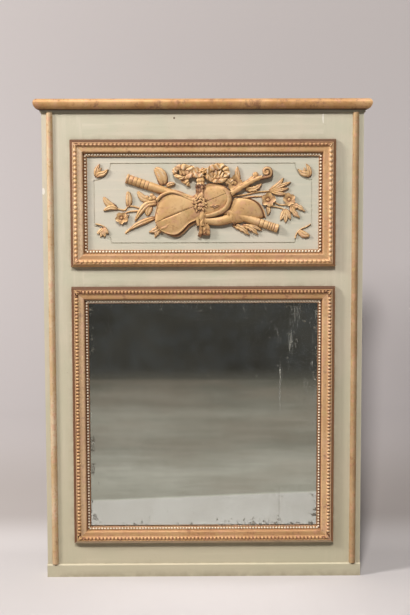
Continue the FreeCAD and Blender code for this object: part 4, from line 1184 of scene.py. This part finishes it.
def room_floor(name):
    """A streaked floor that glows, as painted light for the mirror's reflection: dim far from the mirror and
    pale near it, with a pale line where it meets the paper."""
    f = Finish(name)
    cloud = f.patches(2.4, 0.34, 0.66, stretch=(0.35, 1, 1), detail=8, roughness=0.72)
    fine = f.patches(15, 0.36, 0.64, stretch=(0.22, 1, 1), detail=8, roughness=0.75)
    hue = f.patches(1.7, 0.38, 0.62, detail=3)
    beyond = f.mix(cloud, colour(104, 100, 92), colour(122, 116, 108))
    far = f.mix(cloud, colour(124, 117, 108), colour(146, 139, 130))
    middle = f.mix(cloud, colour(150, 143, 133), colour(180, 173, 163))
    near = f.mix(cloud, colour(184, 177, 166), colour(206, 199, 189))
    tint = f.mix(f.step(f.axis("Y"), -4.0, -3.4), beyond, far)
    tint = f.mix(f.step(f.axis("Y"), -3.7, -2.5), tint, middle)
    tint = f.mix(f.step(f.axis("Y"), -2.1, -1.3), tint, near)
    tint = f.tinge(tint, hue, 0.22, colour(168, 146, 132))
    tint = f.tinge(tint, fine, 0.20, colour(116, 114, 102))
    slant = f.times(f.axis("X"), PALE_FLOOR_SLANT)
    from_paper = f.minus(-PALE_FLOOR_REACH, f.plus(f.axis("Y"), slant))
    return glow(f, f.mix(f.step(from_paper, 0.022, 0.008), tint, colour(236, 231, 222)))


def room_wall(name):
    """A dim, mottled wall that glows, as painted light for the mirror's reflection, painted a little lighter
    near the floor.
    """
    f = Finish(name)
    cloud = f.patches(1.2, 0.3, 0.7, detail=6, roughness=0.6)
    tint = f.mix(cloud, colour(58, 55, 51), colour(82, 79, 75))
    tint = f.tinge(tint, f.patches(9, 0.4, 0.7, detail=6, roughness=0.7), 0.5, colour(84, 86, 90))
    return glow(f, f.mix(f.step(f.axis("Z"), 0.09, 0.0), tint, colour(94, 90, 84)))


def make_stage():
    """A paper floor that curves up into a backdrop, and the dim room that only the mirror shows, as glowing
    sheets of painted light.
    """
    curve_start = BACKDROP_DISTANCE - BACKDROP_CURVE
    line = [(-5.0, 0.0), (-3.0, 0.0), (-1.0, 0.0), (curve_start, 0.0)]
    for number in range(1, CURVE_STEPS + 1):
        turn = math.pi / 2 * number / CURVE_STEPS
        line.append((curve_start + BACKDROP_CURVE * math.sin(turn), BACKDROP_CURVE * (1 - math.cos(turn))))
    line.append((BACKDROP_DISTANCE, BACKDROP_HEIGHT))
    points = [(x, y, z) for x in (-PAPER_HALF, 0, PAPER_HALF) for y, z in line]
    stage_sheet("paper", points, len(line), paper("paper"))
    floor_points, wall_points = [], []
    for x in (-ROOM_HALF, ROOM_HALF):
        floor_points.append((x, -ROOM_REACH, ROOM_FLOOR_LEVEL))
        floor_points.append((x, -PALE_FLOOR_REACH - x * PALE_FLOOR_SLANT, ROOM_FLOOR_LEVEL))
        wall_points += [(x, -ROOM_REACH, 0), (x, -ROOM_REACH, ROOM_HEIGHT)]
    floor = stage_sheet("room_floor", floor_points, 2, room_floor("room_floor"))
    wall = stage_sheet("room_wall", wall_points, 2, room_wall("room_wall"))
    for unseen in (floor, wall):
        unseen.visible_camera = False
        unseen.visible_diffuse = False
        unseen.visible_shadow = False


LAMP_TARGET = Vector((0, 0, 0.8))
LAMPS = (
    # name, the way towards it from the object, distance, size, power, colour
    ("key_left", (-2.25, -1.0, 1.55), 6.5, 1.3, 330, (1.0, 0.97, 0.95)),
    ("key_front", (-0.10, -1.0, 1.25), 10.0, 1.15, 775, (1.0, 0.97, 0.945)),
)


def make_lights():
    for name, way, distance, size, power, tint in LAMPS:
        data = bpy.data.lights.new(name, "AREA")
        data.shape = "DISK"
        data.size = size
        data.energy = power
        data.color = tint
        lamp = bpy.data.objects.new(name, data)
        lamp.location = LAMP_TARGET + Vector(way).normalized() * distance
        lamp.rotation_euler = (LAMP_TARGET - lamp.location).to_track_quat("-Z", "Y").to_euler()
        bpy.context.scene.collection.objects.link(lamp)
    world = bpy.data.worlds.new("studio")
    world.use_nodes = True
    sky = world.node_tree.nodes["Background"]
    sky.inputs["Color"].default_value = (0.93, 0.95, 1.0, 1)
    sky.inputs["Strength"].default_value = 0.12
    bpy.context.scene.world = world


CAMERA_PLACE = Vector((-0.0294, -3.6805, 1.193))
CAMERA_YAW = math.radians(0.54)
CAMERA_DIP = math.radians(5.38)
CAMERA_ROLL = math.radians(-0.14)


def make_camera():
    data = bpy.data.cameras.new("camera")
    data.lens = 70.0
    data.sensor_width = 36.0
    camera = bpy.data.objects.new("camera", data)
    ahead = Vector((math.sin(CAMERA_YAW) * math.cos(CAMERA_DIP), math.cos(CAMERA_YAW) * math.cos(CAMERA_DIP),
                    -math.sin(CAMERA_DIP)))
    level = Vector((math.cos(CAMERA_YAW), -math.sin(CAMERA_YAW), 0))
    over = level.cross(ahead)
    right = level * math.cos(CAMERA_ROLL) + over * math.sin(CAMERA_ROLL)
    up = over * math.cos(CAMERA_ROLL) - level * math.sin(CAMERA_ROLL)
    turned = Matrix((right, up, -ahead)).transposed().to_4x4()
    camera.matrix_world = Matrix.Translation(CAMERA_PLACE) @ turned
    bpy.context.scene.collection.objects.link(camera)
    bpy.context.scene.camera = camera


def main():
    dress_nodes()
    upper_gold = gilded("gilding_upper_frame", colour(216, 170, 120), colour(230, 190, 142), worn=0.60,
                        carved=True)
    # the lower frame's gilding is painted darker than the upper frame's: painted shade for the light that falls
    # off downward
    lower_gold = gilded("gilding_lower_frame", colour(204, 158, 108), colour(220, 178, 128), worn=0.56,
                        carved=True)
    trophy_gold = gilded("gilding_trophy", colour(212, 168, 112), colour(232, 194, 142), worn=0.62, dark=0.85,
                         carved=True)
    frame_of_four("panel_frame", UPPER_SIDES, upper_gold)
    frame_of_four("mirror_frame", LOWER_SIDES, lower_gold)
    make_trophy(trophy_gold)
    make_mirror()
    make_stage()
    make_lights()
    make_camera()
    bpy.context.scene.view_settings.view_transform = "Standard"
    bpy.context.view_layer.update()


main()
